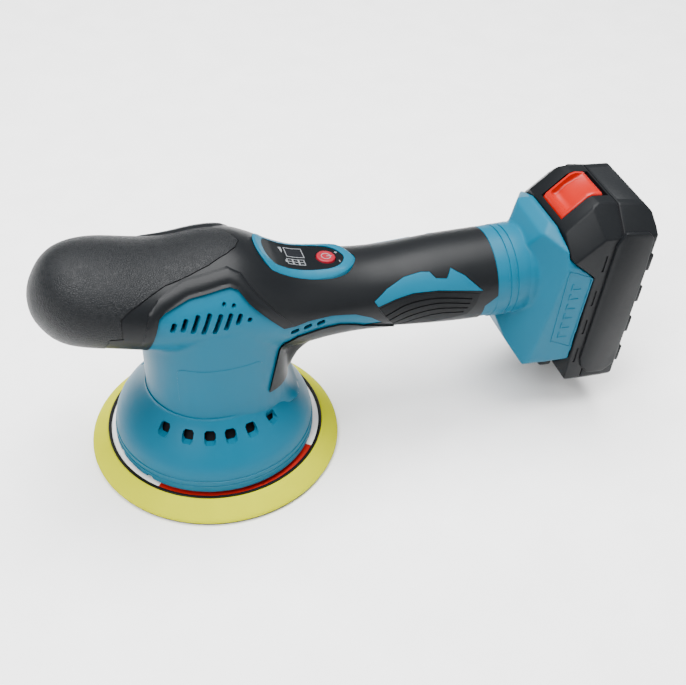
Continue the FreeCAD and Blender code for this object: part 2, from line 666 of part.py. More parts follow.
stator_ring = turned("stator_ring", [
    (stator_r - 4.5, stator_low), (stator_r, stator_low), (stator_r, stator_high),
    (stator_r - 4.5, stator_high)])
TEETH = 6
TOOTH_WIDE = 6.0
TOOTH_START = 17.2
TOOTH_LONG = 9.8
COIL_START = 18.2
COIL_LONG = 7.2
COIL_SIDE = 2.8
COIL_OVER = 3.0
FIT_GAP = 0.1
stack = stator_high - stator_low
teeth = []
coils = []
for count in range(TEETH):
    turn = Rotation(Vector(0, 0, 1), 360.0 / TEETH * count)
    tooth = box("tooth_%d" % count, (0.0, 0.0, 0.0), (TOOTH_LONG, TOOTH_WIDE, stack))
    reach = turn.multVec(Vector(TOOTH_START, -TOOTH_WIDE / 2, stator_low.number))
    tooth.Placement = Placement(reach, turn)
    teeth.append(tooth)
    outer = box("coil_outer_%d" % count, (0.0, 0.0, 0.0),
                (COIL_LONG, TOOTH_WIDE + 2 * COIL_SIDE, stack + 2 * COIL_OVER))
    inner = box("coil_inner_%d" % count, (-1.0, COIL_SIDE - FIT_GAP, COIL_OVER - FIT_GAP),
                (COIL_LONG + 1.0, TOOTH_WIDE + COIL_SIDE + FIT_GAP, stack + (COIL_OVER + FIT_GAP)))
    coil = cut("coil_%d" % count, outer, inner)
    reach = turn.multVec(Vector(COIL_START, -TOOTH_WIDE / 2 - COIL_SIDE,
                                stator_low.number - COIL_OVER))
    coil.Placement = Placement(reach, turn)
    coils.append(coil)
node("stator_core", fuse("stator_core", [stator_ring] + teeth))
node("stator_coils", group("stator_coils", coils))

MOUNT_RADIUS = 35.4
node("motor_mount", turned("motor_mount", [
    (5.0, mount_low), (MOUNT_RADIUS, mount_low), (MOUNT_RADIUS, mount_high),
    (stator_r + 1.0, mount_high), (stator_r + 1.0, mount_high + 6.0),
    (stator_r, mount_high + 6.0), (stator_r, stator_low), (stator_r - 3.6, stator_low),
    (stator_r - 3.6, mount_high), (BEARING_RADIUS, mount_high),
    (BEARING_RADIUS, mount_low + 1.4), (5.0, mount_low + 1.4)]))
lower_seat = mount_low + 1.4
node("lower_bearing", turned("lower_bearing", [
    (shaft_r + RUNNING, lower_seat), (BEARING_RADIUS, lower_seat),
    (BEARING_RADIUS, mount_high - 0.1), (shaft_r + RUNNING, mount_high - 0.1)]))
node("motor_end_cap", turned("motor_end_cap", [
    (BEARING_RADIUS, cap_low), (stator_r - 0.8, cap_low), (stator_r - 0.8, stator_high),
    (stator_r + 1.2, stator_high), (stator_r + 1.2, cap_low + 3.0), (15.0, cap_high),
    (0.0, cap_high), (0.0, cap_high - 0.9), (BEARING_RADIUS, cap_high - 0.9)]))
upper_seat = cap_low + 0.1
node("upper_bearing", turned("upper_bearing", [
    (shaft_r + RUNNING, upper_seat), (BEARING_RADIUS - 0.02, upper_seat),
    (BEARING_RADIUS - 0.02, upper_seat + BEARING_TALL - 0.2),
    (shaft_r + RUNNING, upper_seat + BEARING_TALL - 0.2)]))
node("hall_board", turned("hall_board", [
    (7.0, stator_high + 4.0), (29.5, stator_high + 4.0), (29.5, stator_high + 4.9),
    (7.0, stator_high + 4.9)]))

# ---------------------------------------------------------------- drive: shaft, rotor, fan, hub
SHAFT_TOP = 118.0
SHAFT_LOW = 46.5
node("motor_shaft", turned("motor_shaft", [
    (0.0, SHAFT_LOW), (shaft_r - 0.5, SHAFT_LOW), (shaft_r, SHAFT_LOW + 0.5),
    (shaft_r, SHAFT_TOP - 0.4), (shaft_r - 0.4, SHAFT_TOP), (0.0, SHAFT_TOP)]))
rotor_r = cell("rotor_radius")
node("rotor_core", turned("rotor_core", [
    (shaft_r, stator_low - 1.0), (rotor_r, stator_low - 1.0), (rotor_r, stator_high + 1.0),
    (shaft_r, stator_high + 1.0)]))
fan_low = cell("fan_low")
fan_high = cell("fan_high")
fan_r = cell("fan_radius")
fan_disc = turned("fan_disc", [
    (shaft_r, fan_low), (fan_r, fan_low), (fan_r, fan_low + 1.4), (14.0, fan_low + 1.8),
    (8.0, fan_high), (shaft_r, fan_high)])
BLADES = 11
blades = []
for count in range(BLADES):
    blade = box("blade_%d" % count, (0.0, 0.0, 0.0), (19.5, 1.2, 7.2))
    turn = Rotation(Vector(0, 0, 1), 360.0 / BLADES * count)
    lean_back = Rotation(Vector(0, 0, 1), 360.0 / BLADES * count - 28.0)
    blade.Placement = Placement(turn.multVec(Vector(13.2, 0, fan_low.number + 1.0)), lean_back)
    blades.append(blade)
node("cooling_fan", fuse("cooling_fan", [fan_disc] + blades))

orbit = cell("orbit")
orbit_angle = math.radians(cell("orbit_angle").number)
orbit_x = orbit * math.cos(orbit_angle)
orbit_y = orbit * math.sin(orbit_angle)
HUB_RADIUS = 17.5
HUB_LOW = 20.5
HUB_HIGH = 44.0
PAD_BEARING_RADIUS = 14.0
hub_drum = rod("hub_drum", HUB_RADIUS, HUB_HIGH - HUB_LOW, (orbit_x, orbit_y, HUB_LOW))
hub_boss = rod("hub_boss", 9.0, fan_low - HUB_HIGH + 1.0, (0.0, 0.0, HUB_HIGH - 1.0))
hub_bore = rod("hub_bore", PAD_BEARING_RADIUS, 22.3, (orbit_x, orbit_y, HUB_LOW - 1.0))
shaft_bore = rod("shaft_bore", shaft_r, 30.0, (0.0, 0.0, SHAFT_LOW))
node("eccentric_hub", cut("eccentric_hub", fuse("hub_blank", [hub_drum, hub_boss]),
                          hub_bore, shaft_bore))
# The counterweight is a half ring on the side away from the orbit offset.
weight_ring = rod("weight_ring", 36.0, 8.0, (0.0, 0.0, 26.0))
weight_half = doc.addObject("Part::Box", "weight_half")
weight_half.Length = 90.0
weight_half.Width = 40.0
weight_half.Height = 20.0
weight_half.Placement = Placement(
    Rotation(Vector(0, 0, 1), math.degrees(orbit_angle) + 90.0).multVec(Vector(-45.0, 2.0, 20.0)),
    Rotation(Vector(0, 0, 1), math.degrees(orbit_angle) + 90.0))
weight_hole = rod("weight_hole", HUB_RADIUS, 20.0, (orbit_x, orbit_y, 22.0))
node("counterweight", cut("counterweight", common("weight_blank", weight_ring, weight_half),
                          weight_hole))


def pad_bearing(name, low):
    """A ball bearing on the pad spindle, shown as one closed ring with shield grooves."""
    spindle = cell("spindle_radius")
    ring = turned(name, [
        (spindle + RUNNING, low), (PAD_BEARING_RADIUS, low), (PAD_BEARING_RADIUS, low + 8.0),
        (PAD_BEARING_RADIUS - 2.6, low + 8.0), (PAD_BEARING_RADIUS - 2.6, low + 7.6),
        (spindle + 2.6, low + 7.6), (spindle + 2.6, low + 8.0), (spindle + RUNNING, low + 8.0)])
    return node(name, move(ring, orbit_x, orbit_y, 0.0))


pad_bearing("pad_bearing_lower", 21.0)
pad_bearing("pad_bearing_upper", 31.5)
spacer = turned("bearing_spacer", [(10.6, 29.0), (14.0, 29.0), (14.0, 31.5), (10.6, 31.5)])
node("bearing_spacer", move(spacer, orbit_x, orbit_y, 0.0))
seal = turned("dust_seal", [
    (7.4, 19.3), (17.3, 19.3), (17.3, 20.5), (13.9, 20.5), (13.9, 20.9), (7.4, 20.9)])
node("dust_seal", move(seal, orbit_x, orbit_y, 0.0))

# ---------------------------------------------------------------- pad
pad_r = cell("pad_radius")
pad_edge = cell("pad_edge")
hook = cell("hook_thick")
plate_r = cell("plate_radius")
plate_low = cell("plate_low")
plate_floor = cell("plate_floor")
rim_top = cell("plate_rim_top")
rim = cell("rim_wide")
spindle_r = cell("spindle_radius")
label_thick = cell("label_thick")


def pad_piece(name, outline):
    """A turned piece on the pad's own axis."""
    return node(name, move(turned(name, outline), orbit_x, orbit_y, 0.0))


pad_piece("hook_disc", [(0.0, 0.0), (pad_edge, 0.0), (pad_edge, hook), (0.0, hook)])
pad_piece("foam_disc", [
    (0.0, hook), (pad_edge, hook), (pad_r, hook + 1.2), (pad_r, hook + 2.6),
    (pad_r - 1.4, hook + 4.2), (plate_r + 0.9, rim_top - 0.6), (plate_r, rim_top - 0.9),
    (plate_r, plate_low), (0.0, plate_low)])
pad_piece("backing_plate", [
    (spindle_r, plate_low), (plate_r, plate_low), (plate_r, rim_top - 0.4),
    (plate_r - 0.4, rim_top), (plate_r - rim + 0.3, rim_top), (plate_r - rim, rim_top - 0.3),
    (plate_r - rim, plate_floor), (24.0, plate_floor), (22.0, plate_floor + 2.2),
    (14.0, plate_floor + 3.0), (13.0, 16.4), (spindle_r, 16.4)])
pad_piece("plate_label", [
    (cell("label_inner"), plate_floor), (plate_r - rim - 0.1, plate_floor),
    (plate_r - rim - 0.1, plate_floor + label_thick), (cell("label_inner"), plate_floor + label_thick)])
pad_piece("pad_spindle", [
    (0.0, plate_low + 0.6), (spindle_r, plate_low + 0.6), (spindle_r, 16.4), (10.5, 16.4),
    (10.5, 18.6), (7.2, 18.6), (7.2, 20.95), (spindle_r, 20.95), (spindle_r, 40.0),
    (spindle_r - 0.7, 40.0), (spindle_r - 0.7, 41.0), (spindle_r, 41.0), (spindle_r - 0.4, 41.4),
    (0.0, 41.4)])
pad_piece("spindle_circlip", [
    (spindle_r - 0.7, 40.0), (8.4, 40.0), (8.4, 40.7), (spindle_r - 0.7, 40.7)])

# ---------------------------------------------------------------- boards and leads in the handle
node("controller_board", box("controller_board", (96.0, -16.0, 92.0), (148.0, 16.0, 93.6)))
sink_base = box("sink_base", (104.0, -13.0, 93.6), (138.0, 13.0, 96.4))
fins = [box("fin_%d" % count, (104.0 + 4.4 * count, -13.0, 96.0), (105.4 + 4.4 * count, 13.0, 104.0))
        for count in range(8)]
node("heat_sink", fuse("heat_sink", [sink_base] + fins))
node("board_capacitor", rod("board_capacitor", 4.6, 14.0, (143.0, -8.0, 98.3), "y"))


def lead(name, radius, route):
    """A wire along straight runs with round elbows."""
    pieces = []
    for count, (start, end) in enumerate(zip(route, route[1:])):
        run = Vector(*end) - Vector(*start)
        piece = doc.addObject("Part::Cylinder", "%s_run_%d" % (name, count))
        piece.Radius = radius
        piece.Height = run.Length
        piece.Placement = Placement(Vector(*start), Rotation(Vector(0, 0, 1), run))
        pieces.append(piece)
    for count, place in enumerate(route[1:-1]):
        elbow = doc.addObject("Part::Sphere", "%s_elbow_%d" % (name, count))
        elbow.Radius = radius
        elbow.Placement.Base = Vector(*place)
        pieces.append(elbow)
    return fuse(name, pieces)


LEAD_RADIUS = 1.2
motor_leads = [lead("motor_lead_%d" % count, LEAD_RADIUS, [
    (33.8, shift, 99.5), (38.0, shift, 99.5), (50.0, shift, 96.5), (78.0, shift, 96.5),
    (94.0, shift, 95.5)]) for count, shift in enumerate((-5.0, 0.0, 5.0))]
node("motor_leads", group("motor_leads", motor_leads))
node("battery_lead_red", lead("battery_lead_red", LEAD_RADIUS, [
    (149.4, 8.0, 93.0), (165.0, 8.0, 93.0), (190.0, 8.0, 76.0), (202.5, 8.0, 66.0)]))
node("battery_lead_black", lead("battery_lead_black", LEAD_RADIUS, [
    (149.4, -8.0, 93.0), (165.0, -8.0, 93.0), (190.0, -8.0, 76.0), (202.5, -8.0, 66.0)]))
node("panel_ribbon", lead("panel_ribbon", 1.0, [
    (79.4, 0.0, 112.0), (88.0, 0.0, 108.0), (95.5, 0.0, 102.0), (99.0, 0.0, 94.9)]))

# ---------------------------------------------------------------- dock in the foot
TONGUE_HALF = 23.9
NECK_HALF = 20.4
DOCK_LOW = -37.7
tray = box("dock_tray", (CHANNEL_DEEP, -CHANNEL_HALF, DOCK_LOW), (-8.4, CHANNEL_HALF, 30.0))
rails = [box("dock_rail_%d" % side, (-8.4, side * 26.15 - 1.85, DOCK_LOW),
             (-0.3, side * 26.15 + 1.85, 30.0)) for side in (-1, 1)]
lips = [box("dock_lip_%d" % side, (-3.0, side * 22.55 - 1.75, -30.0),
            (-0.3, side * 22.55 + 1.75, 30.0)) for side in (-1, 1)]
stop = box("dock_stop", (-9.4, -STOP_HALF, -47.0), (-0.6, STOP_HALF, -31.5))
node("battery_dock", at_dock(fuse("battery_dock", [tray, stop] + rails + lips)))
BLADE_PLACES = (-12.0, -4.0, 4.0, 12.0)
contact_blades = [box("contact_blade_%d" % count, (-7.2, place - 0.5, -31.5),
                      (-3.2, place + 0.5, -19.0)) for count, place in enumerate(BLADE_PLACES)]
node("contact_blades", at_dock(group("contact_blades", contact_blades)))

# ---------------------------------------------------------------- battery pack, in the dock frame
gap = cell("pack_gap").number
PACK_SIDE = [(gap, 32.3), (-18.6, 45.6), (-21.3, 57.4), (-20.0, 60.0), (-5.0, 76.6), (-2.0, 77.4),
             (27.0, 75.2), (32.6, 71.0), (34.6, 66.0), (35.3, -44.0), (33.0, -50.0), (27.0, -54.6),
             (10.0, -53.0), (4.0, -48.0), (gap, -44.0)]
PACK_FRONT = [(-20.5, 78.5), (-24.0, 76.5), (-37.2, 58.0), (-37.5, 55.0), (-37.5, -44.0), (-34.0, -50.0),
              (-28.0, -55.5), (28.0, -55.5), (34.0, -50.0), (37.5, -44.0), (37.5, 55.0),
              (37.2, 58.0), (24.0, 76.5), (20.5, 78.5)]
CASE_SPLIT = 14.0
PACK_WALL = 2.2
pack_outer = crossed("pack_outer", PACK_SIDE, PACK_FRONT)
PACK_HOLLOW_SIDE = [(gap + PACK_WALL, -43.0), (gap + PACK_WALL, 52.0), (5.4, 54.0), (5.4, 71.5),
                    (26.0, 70.0), (30.6, 66.5), (32.4, 52.0), (33.0, -43.5), (26.0, -51.6),
                    (11.0, -50.0)]
PACK_HOLLOW_FRONT = [(-24.0, 71.5), (-35.0, 55.0), (-35.0, -43.0), (-27.0, -52.0), (27.0, -52.0),
                     (35.0, -43.0), (35.0, 55.0), (24.0, 71.5)]
pack_hollow = crossed("pack_hollow", PACK_HOLLOW_SIDE, PACK_HOLLOW_FRONT)
tongue = fuse("tongue", [
    box("tongue_head", (-7.9, -TONGUE_HALF, -29.5), (-3.4, TONGUE_HALF, 36.0)),
    box("tongue_neck", (-3.6, -NECK_HALF, -29.5), (gap + 1.0, NECK_HALF, 36.0))])
blade_pockets = [box("blade_pocket_%d" % count, (-7.6, place - 1.6, -31.0),
                     (-2.8, place + 1.6, -12.0)) for count, place in enumerate(BLADE_PLACES)]
LATCH_HALF = 12.6
latch_pocket = box("latch_pocket", (-18.6, -LATCH_HALF - 0.4, 55.0),
                   (2.6, LATCH_HALF + 0.4, 90.0))
PLATE_TOP = [(7.0, -17.0), (26.0, -19.0), (26.0, 19.0), (7.0, 17.0)]
plate_band = [(4.0, 75.6), (28.0, 73.75), (28.0, 79.0), (4.0, 80.8)]
plate_pocket = common("plate_pocket", prism("plate_pocket_plan", "XY", PLATE_TOP, 60.0, 90.0),
                      prism("plate_pocket_band", "XZ", plate_band, -wide, wide))
side_recesses = [box("side_recess_%d" % side, (18.0, side * 37.9 - 1.0, -38.0),
                     (30.5, side * 37.9 + 1.0, 50.0)) for side in (-1, 1)]
# Bolts that hold the two cases together: across, height.
PACK_BOLTS = ((-31.0, 50.4), (31.0, 50.4), (-24.0, -49.3), (24.0, -49.3))
BOLT_RADIUS = 1.4
BOLT_HEAD = 2.2
BOLT_SEAT = 9.8
bolt_posts = []
bolt_holes = []
pack_bolts = []
for count, (across, up) in enumerate(PACK_BOLTS):
    bolt_posts.append(rod("bolt_post_%d" % count, 3.4, 32.5, (1.3, across, up), "x"))
    bolt_holes.append(rod("bolt_well_%d" % count, BOLT_HEAD, BOLT_SEAT + 2.0,
                          (-2.0, across, up), "x"))
    bolt_holes.append(rod("bolt_hole_%d" % count, BOLT_RADIUS, 18.0,
                          (BOLT_SEAT - 1.0, across, up), "x"))
    pack_bolts.append(fuse("pack_bolt_%d" % count, [
        rod("bolt_shank_%d" % count, BOLT_RADIUS, 16.0, (BOLT_SEAT, across, up), "x"),
        rod("bolt_head_%d" % count, BOLT_HEAD, 1.8, (BOLT_SEAT - 1.8, across, up), "x")]))
node("pack_bolts", at_dock(group("pack_bolts", pack_bolts)))
posts = common("posts", fuse("post_rods", bolt_posts), pack_outer)
pack_solid = fuse("pack_solid", [cut("pack_shell", pack_outer, pack_hollow), tongue, posts])
pack_body = cut("pack_body", pack_solid, latch_pocket, plate_pocket,
                *(blade_pockets + side_recesses + bolt_holes))
front_side = box("front_side", (-40.0, -wide, -80.0), (CASE_SPLIT, wide, 100.0))
rear_side = box("rear_side", (CASE_SPLIT, -wide, -80.0), (60.0, wide, 100.0))
node("battery_front_case", at_dock(common("battery_front_case", pack_body, front_side)))
node("battery_rear_case", at_dock(common("battery_rear_case", pack_body, rear_side)))
plate = common("pack_plate", prism("pack_plate_plan", "XY", [
    (7.2, -16.8), (25.8, -18.8), (25.8, 18.8), (7.2, 16.8)], 60.0, 90.0), prism(
        "pack_plate_band", "XZ", [(4.0, 75.6), (28.0, 73.75), (28.0, 74.55), (4.0, 76.4)],
        -wide, wide))
node("pack_top_plate", at_dock(plate))

cell_r = cell("cell_radius")
cell_long = cell("cell_long")
cell_step = cell("cell_step")
CELLS = 5
CELL_U = 21.4
FIRST_CELL = -36.5
cells = [rod("cell_%d" % count, cell_r, cell_long,
             (CELL_U, -cell_long * 0.5, cell_step * float(count) + FIRST_CELL), "y")
         for count in range(CELLS)]
node("battery_cells", at_dock(group("battery_cells", cells)))
holder_blank = box("holder_blank", (12.0, -28.0, -45.4), (31.6, -20.0, 46.4))
holder_blank_far = box("holder_blank_far", (12.0, 20.0, -45.4), (31.6, 28.0, 46.4))
holder_holes = [rod("holder_hole_%d" % count, cell_r + 0.1, 80.0,
                    (CELL_U, -40.0, cell_step * float(count) + FIRST_CELL), "y")
                for count in range(CELLS)]
node("cell_holder", at_dock(cut("cell_holder", fuse("holder_pair", [holder_blank, holder_blank_far]),
                                *holder_holes)))
straps = []
for count in range(CELLS - 1):
    side = 1 if count % 2 else -1
    low = (CELL_U - 3.5, side * 32.75 - 0.2, FIRST_CELL - 3.5 + cell_step.number * count)
    high = (CELL_U + 3.5, side * 32.75 + 0.2, low[2] + cell_step.number + 7.0)
    straps.append(box("strap_%d" % count, low, high))
node("cell_straps", at_dock(group("cell_straps", straps)))
board = box("battery_board_slab", (5.0, -18.0, -34.0), (6.6, 18.0, 40.0))
node("battery_board", at_dock(group("battery_board", [board])))
clips = [box("clip_%d" % count, (-6.6, place - 1.3, -17.8), (-3.6, place + 1.3, -12.2))
         for count, place in enumerate(BLADE_PLACES)]
node("battery_terminals", at_dock(group("battery_terminals", clips)))
PACK_LATCH = [(-18.2, 58.2), (-18.2, 61.4), (-5.6, 75.6), (-2.2, 77.0), (-2.2, 58.2)]
latch_blank = prism("latch_blank", "XZ", PACK_LATCH, -LATCH_HALF, LATCH_HALF)
scoop = doc.addObject("Part::Sphere", "latch_scoop")
scoop.Radius = 13.0
scoop.Placement.Base = Vector(-17.5, 0.0, 77.0)
spring_bore = rod("spring_bore", 3.4, 8.0, (-9.0, 0.0, 62.2), "x")
node("latch_button", at_dock(cut("latch_button", latch_blank, scoop, spring_bore)))
spring_rings = [doc.addObject("Part::Torus", "spring_ring_%d" % count) for count in range(3)]
for count, ring in enumerate(spring_rings):
    ring.Radius1 = 2.6
    ring.Radius2 = 0.45
    ring.Placement = Placement(Vector(-1.4 + 1.6 * count, 0.0, 62.2), Rotation(Vector(0, 1, 0), 90))
node("latch_spring", at_dock(group("latch_spring", spring_rings)))

# ---------------------------------------------------------------- build, check and export
doc.recompute()
for item in doc.Objects:
    if "Invalid" in item.State or "Error" in item.State:
        raise RuntimeError("%s is in state %s" % (item.Name, item.State))
os.makedirs("parts", exist_ok=True)
for name, item in sorted(parts.items()):
    shape = item.Shape
    if shape.isNull() or not shape.isValid() or not shape.Solids:
        raise RuntimeError("%s has no valid solid" % name)
for name, item in sorted(parts.items()):
    shape = item.Shape
    shape.exportStep("parts/%s.step" % name)
    print("%-22s %2d solids %10.1f mm3" % (name, len(shape.Solids), shape.Volume))
print("sub-parts:", len(parts))
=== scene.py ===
import json
import math

import bmesh
import bpy
from mathutils import Matrix, Vector


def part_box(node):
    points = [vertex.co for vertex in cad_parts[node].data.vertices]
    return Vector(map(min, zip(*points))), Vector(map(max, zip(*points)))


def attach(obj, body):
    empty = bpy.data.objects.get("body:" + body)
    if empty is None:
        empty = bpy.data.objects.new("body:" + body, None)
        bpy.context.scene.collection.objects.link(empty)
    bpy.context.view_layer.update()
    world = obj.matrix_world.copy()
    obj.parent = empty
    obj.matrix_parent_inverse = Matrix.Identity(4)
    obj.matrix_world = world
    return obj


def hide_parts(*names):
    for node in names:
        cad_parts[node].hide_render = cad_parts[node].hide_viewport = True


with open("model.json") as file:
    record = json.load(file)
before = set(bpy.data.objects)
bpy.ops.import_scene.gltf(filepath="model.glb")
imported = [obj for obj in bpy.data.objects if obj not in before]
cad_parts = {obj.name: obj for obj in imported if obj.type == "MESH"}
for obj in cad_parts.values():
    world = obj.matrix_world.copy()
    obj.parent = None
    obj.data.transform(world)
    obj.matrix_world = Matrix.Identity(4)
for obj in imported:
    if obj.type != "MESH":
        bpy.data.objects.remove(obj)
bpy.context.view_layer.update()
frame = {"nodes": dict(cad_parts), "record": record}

bl_info = {
    "name": "Dual action polisher",
    "version": (1, 0, 0),
    "blender": (4, 5, 0),
    "location": "View3D > Sidebar > Polisher",
    "description": "Builds the looks of a cordless dual action polisher around its frame",
    "category": "Object",
}

MM = 0.001

# The foot and the pack are drawn upright (u rearwards, w upwards) and leaned at the dock.
DOCK = Vector((218.5, 0.0, 74.0)) * MM
LEAN = math.radians(4.2)
DOCK_FRAME = Matrix.Translation(DOCK) @ Matrix.Rotation(LEAN, 4, "Y")

# The pad turns on an axis a little off the motor's.
PAD_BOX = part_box("hook_disc")
PAD_AXIS = ((PAD_BOX[0][0] + PAD_BOX[1][0]) / 2 / MM, (PAD_BOX[0][1] + PAD_BOX[1][1]) / 2 / MM)

# ---------------------------------------------------------------- shapes of this tool, in mm
# Head and handle: place along X, half width, middle height, half height.
SECTIONS = (
    (-93.6, 3.2, 126.0, 3.0), (-92.4, 8.6, 126.0, 8.2), (-90.0, 13.8, 126.2, 13.4),
    (-84.0, 22.6, 126.7, 21.6), (-75.0, 29.8, 127.2, 25.6), (-62.0, 35.0, 126.6, 26.0),
    (-48.0, 36.2, 123.6, 26.3), (-34.0, 36.8, 119.6, 26.3), (-20.0, 37.9, 117.0, 26.7),
    (-6.0, 38.6, 117.4, 28.8), (8.0, 38.5, 116.4, 30.9), (20.0, 37.8, 113.2, 31.3),
    (32.0, 36.0, 108.2, 29.6), (45.0, 33.0, 103.6, 26.2), (60.0, 29.9, 102.0, 23.1),
    (75.0, 28.0, 100.6, 21.6), (90.0, 26.9, 98.8, 20.9), (110.0, 26.4, 96.9, 22.6),
    (135.0, 27.1, 95.9, 25.6), (160.0, 27.3, 94.9, 26.3), (178.0, 27.0, 94.5, 26.7),
    (204.0, 26.4, 94.5, 26.2),
)
NECK_RINGS = ((42.0, 9.0), (46.0, 5.0), (49.5, 2.6), (53.0, 1.2), (58.0, 0.4), (64.0, 0.0),
              (80.0, 0.0), (96.0, 0.0), (112.0, 0.0))
NECK_RADIUS = 38.5
NECK_BACK = 42.0
NECK_SQUARE = 2.6
WEB = ((30.0, 58.0), (44.0, 60.0), (45.6, 66.0), (49.0, 72.0), (55.5, 77.2), (66.0, 80.0),
       (80.0, 80.4), (80.0, 98.0), (30.0, 98.0))
WEB_HALF = 17.0
CHEEK_TOP = ((-37.1, 109.8), (-30.9, 129.1), (-27.5, 131.5), (-14.2, 135.6), (2.6, 137.6),
             (7.5, 137.8), (11.5, 136.0), (16.4, 128.8), (34.9, 107.8))
CHEEK = ((-39.8, 36.0), (-39.8, 97.0)) + CHEEK_TOP + (
    (42.0, 106.9), (49.4, 107.2), (63.8, 105.9), (78.2, 102.6), (88.0, 97.4), (95.5, 90.8),
    (84.0, 91.6), (78.9, 94.4), (68.8, 98.1), (56.7, 98.9), (43.4, 98.1), (36.1, 93.7),
    (31.0, 78.0), (26.3, 62.5), (47.0, 58.6), (60.0, 50.0), (60.0, 36.0))
SPINE = ((26.3, 62.0), (31.0, 78.0), (36.1, 93.7), (43.4, 98.1), (56.7, 98.9), (68.8, 98.1),
         (78.9, 94.4), (84.0, 91.6), (92.0, 88.5), (104.0, 84.0), (108.0, 70.0),
         (60.0, 56.0), (47.0, 58.4))
GRIP_ZONE = ((-110.0, 66.0), (-110.0, 170.0), (165.5, 170.0), (165.5, 97.0), (158.0, 91.0),
             (158.0, 66.0))
COVER_TOP = ((-70.0, -50.0), (-54.0, -50.0), (-50.0, -34.5), (-39.4, -30.2), (-24.6, -22.4),
             (-11.7, -19.6), (-0.5, -16.6), (10.3, -11.0), (16.0, -6.0), (18.8, 0.0),
             (16.0, 6.0), (10.3, 11.0), (-0.5, 16.6), (-11.7, 19.6), (-24.6, 22.4),
             (-39.4, 30.2), (-50.0, 34.5), (-54.0, 50.0), (-70.0, 50.0))
COVER_SIDE = ((-110.0, 80.0), (-62.5, 80.0), (-59.4, 113.0), (-56.0, 124.0), (-54.0, 127.0),
              (-54.0, 175.0), (-110.0, 175.0))
CRESCENT = ((89.9, 107.1), (98.1, 111.4), (109.2, 114.6), (120.0, 115.6), (124.9, 115.2),
            (127.9, 112.4), (134.3, 111.6), (137.7, 115.6), (145.5, 111.6), (155.5, 102.5),
            (141.6, 104.9), (128.4, 106.9), (113.0, 107.6), (102.5, 106.3), (91.8, 104.0))
GRIP_PAD = ((92.5, 102.6), (102.5, 105.0), (113.0, 106.2), (128.4, 105.5), (141.6, 103.5),
            (153.7, 101.0), (151.5, 94.0), (147.5, 86.3), (127.9, 83.0), (104.0, 84.6))
GRIP_GROOVES = (((96.0, 96.5), (109.0, 102.0), (128.0, 102.6), (149.0, 98.6)),
                ((98.0, 91.7), (109.0, 97.6), (128.0, 99.4), (148.0, 95.4)),
                ((102.0, 88.4), (112.0, 93.6), (128.0, 95.6), (147.0, 92.2)),
                ((106.0, 85.4), (116.0, 89.6), (129.0, 91.6), (145.0, 89.2)))
PANEL_LINE = ((20.0, 145.9), (24.0, 143.9), (28.0, 140.9), (32.6, 137.1), (38.0, 133.1),
              (44.0, 129.7), (50.5, 127.2), (58.0, 125.4), (66.0, 124.1), (74.0, 123.1),
              (82.0, 122.2), (90.0, 121.5))
BEZEL_PLAN = ((27.6, 0.0), (28.4, -7.6), (31.5, -14.4), (37.5, -17.0), (60.0, -16.4),
              (72.0, -14.6), (79.5, -10.8), (84.7, -3.4), (85.5, 0.0), (84.7, 3.4),
              (79.5, 10.8), (72.0, 14.6), (60.0, 16.4), (37.5, 17.0), (31.5, 14.4), (28.4, 7.6))
FILM_PLAN = ((32.2, 0.0), (32.8, -6.0), (35.0, -10.8), (39.5, -12.2), (60.0, -11.8),
             (70.0, -10.4), (75.6, -6.9), (78.4, -2.3), (78.8, 0.0), (78.4, 2.3),
             (75.6, 6.9), (70.0, 10.4), (60.0, 11.8), (39.5, 12.2), (35.0, 10.8), (32.8, 6.0))
BUTTON_PLACE = (68.4, 123.8)
BUTTON_LEAN = 7.0
BUTTON_HOLE = 5.9
LIP_WIDE = 5.4
BEZEL_FALL = 0.05
LOUVRES = tuple((-24.3 + 5.75 * count, middle, length) for count, (middle, length) in enumerate((
    (122.6, 5.5), (123.0, 7.6), (122.6, 10.8), (121.9, 12.4), (120.8, 11.9), (121.1, 10.0),
    (121.4, 6.6), (119.8, 2.8))))
BELL = ((59.2, 14.8), (59.6, 15.2), (59.6, 18.9), (59.1, 19.1), (59.1, 19.5), (59.4, 19.7),
        (59.2, 22.2), (58.7, 22.4), (58.7, 22.8), (58.9, 23.1), (58.3, 26.6), (56.7, 30.6),
        (54.0, 34.8), (50.2, 39.4), (46.0, 44.0), (42.2, 48.0), (39.9, 50.9), (39.2, 52.0),
        (39.2, 52.9), (38.2, 53.1), (35.1, 53.0), (35.1, 49.0), (39.0, 46.6), (43.2, 42.6),
        (47.2, 38.2), (50.9, 33.6), (53.7, 29.4), (55.2, 25.8), (56.3, 21.8), (56.8, 16.8),
        (57.0, 14.8))
# Outline of the dark band behind the bell's vents, which is painted shade.
VENT_SHADE_BAND = ((39.0, 45.4), (46.0, 36.3), (45.2, 35.7), (38.2, 44.8))
VENT_ANGLES = (-139.0, -120.0, -104.0, -89.0, -73.0, -54.0)
VENT = ((-2.05, 41.2), (2.05, 41.2), (3.25, 42.4), (3.25, 46.2), (2.05, 47.4), (-2.05, 47.4),
        (-3.25, 46.2), (-3.25, 42.4))
NOTCH_ANGLES = (-141.0, -167.0)
NOTCH = ((-2.4, 13.0), (2.4, 13.0), (2.4, 15.6), (1.4, 17.0), (-1.4, 17.0), (-2.4, 15.6))
FOOT_SIDE = ((-46.0, -4.0), (-38.5, -22.0), (-27.5, -36.5), (-22.0, -40.0), (0.0, -40.0),
             (0.0, 32.0), (-17.8, 45.0), (-19.4, 56.5), (-23.5, 58.0), (-30.0, 53.0),
             (-35.0, 43.0), (-46.0, 30.0))
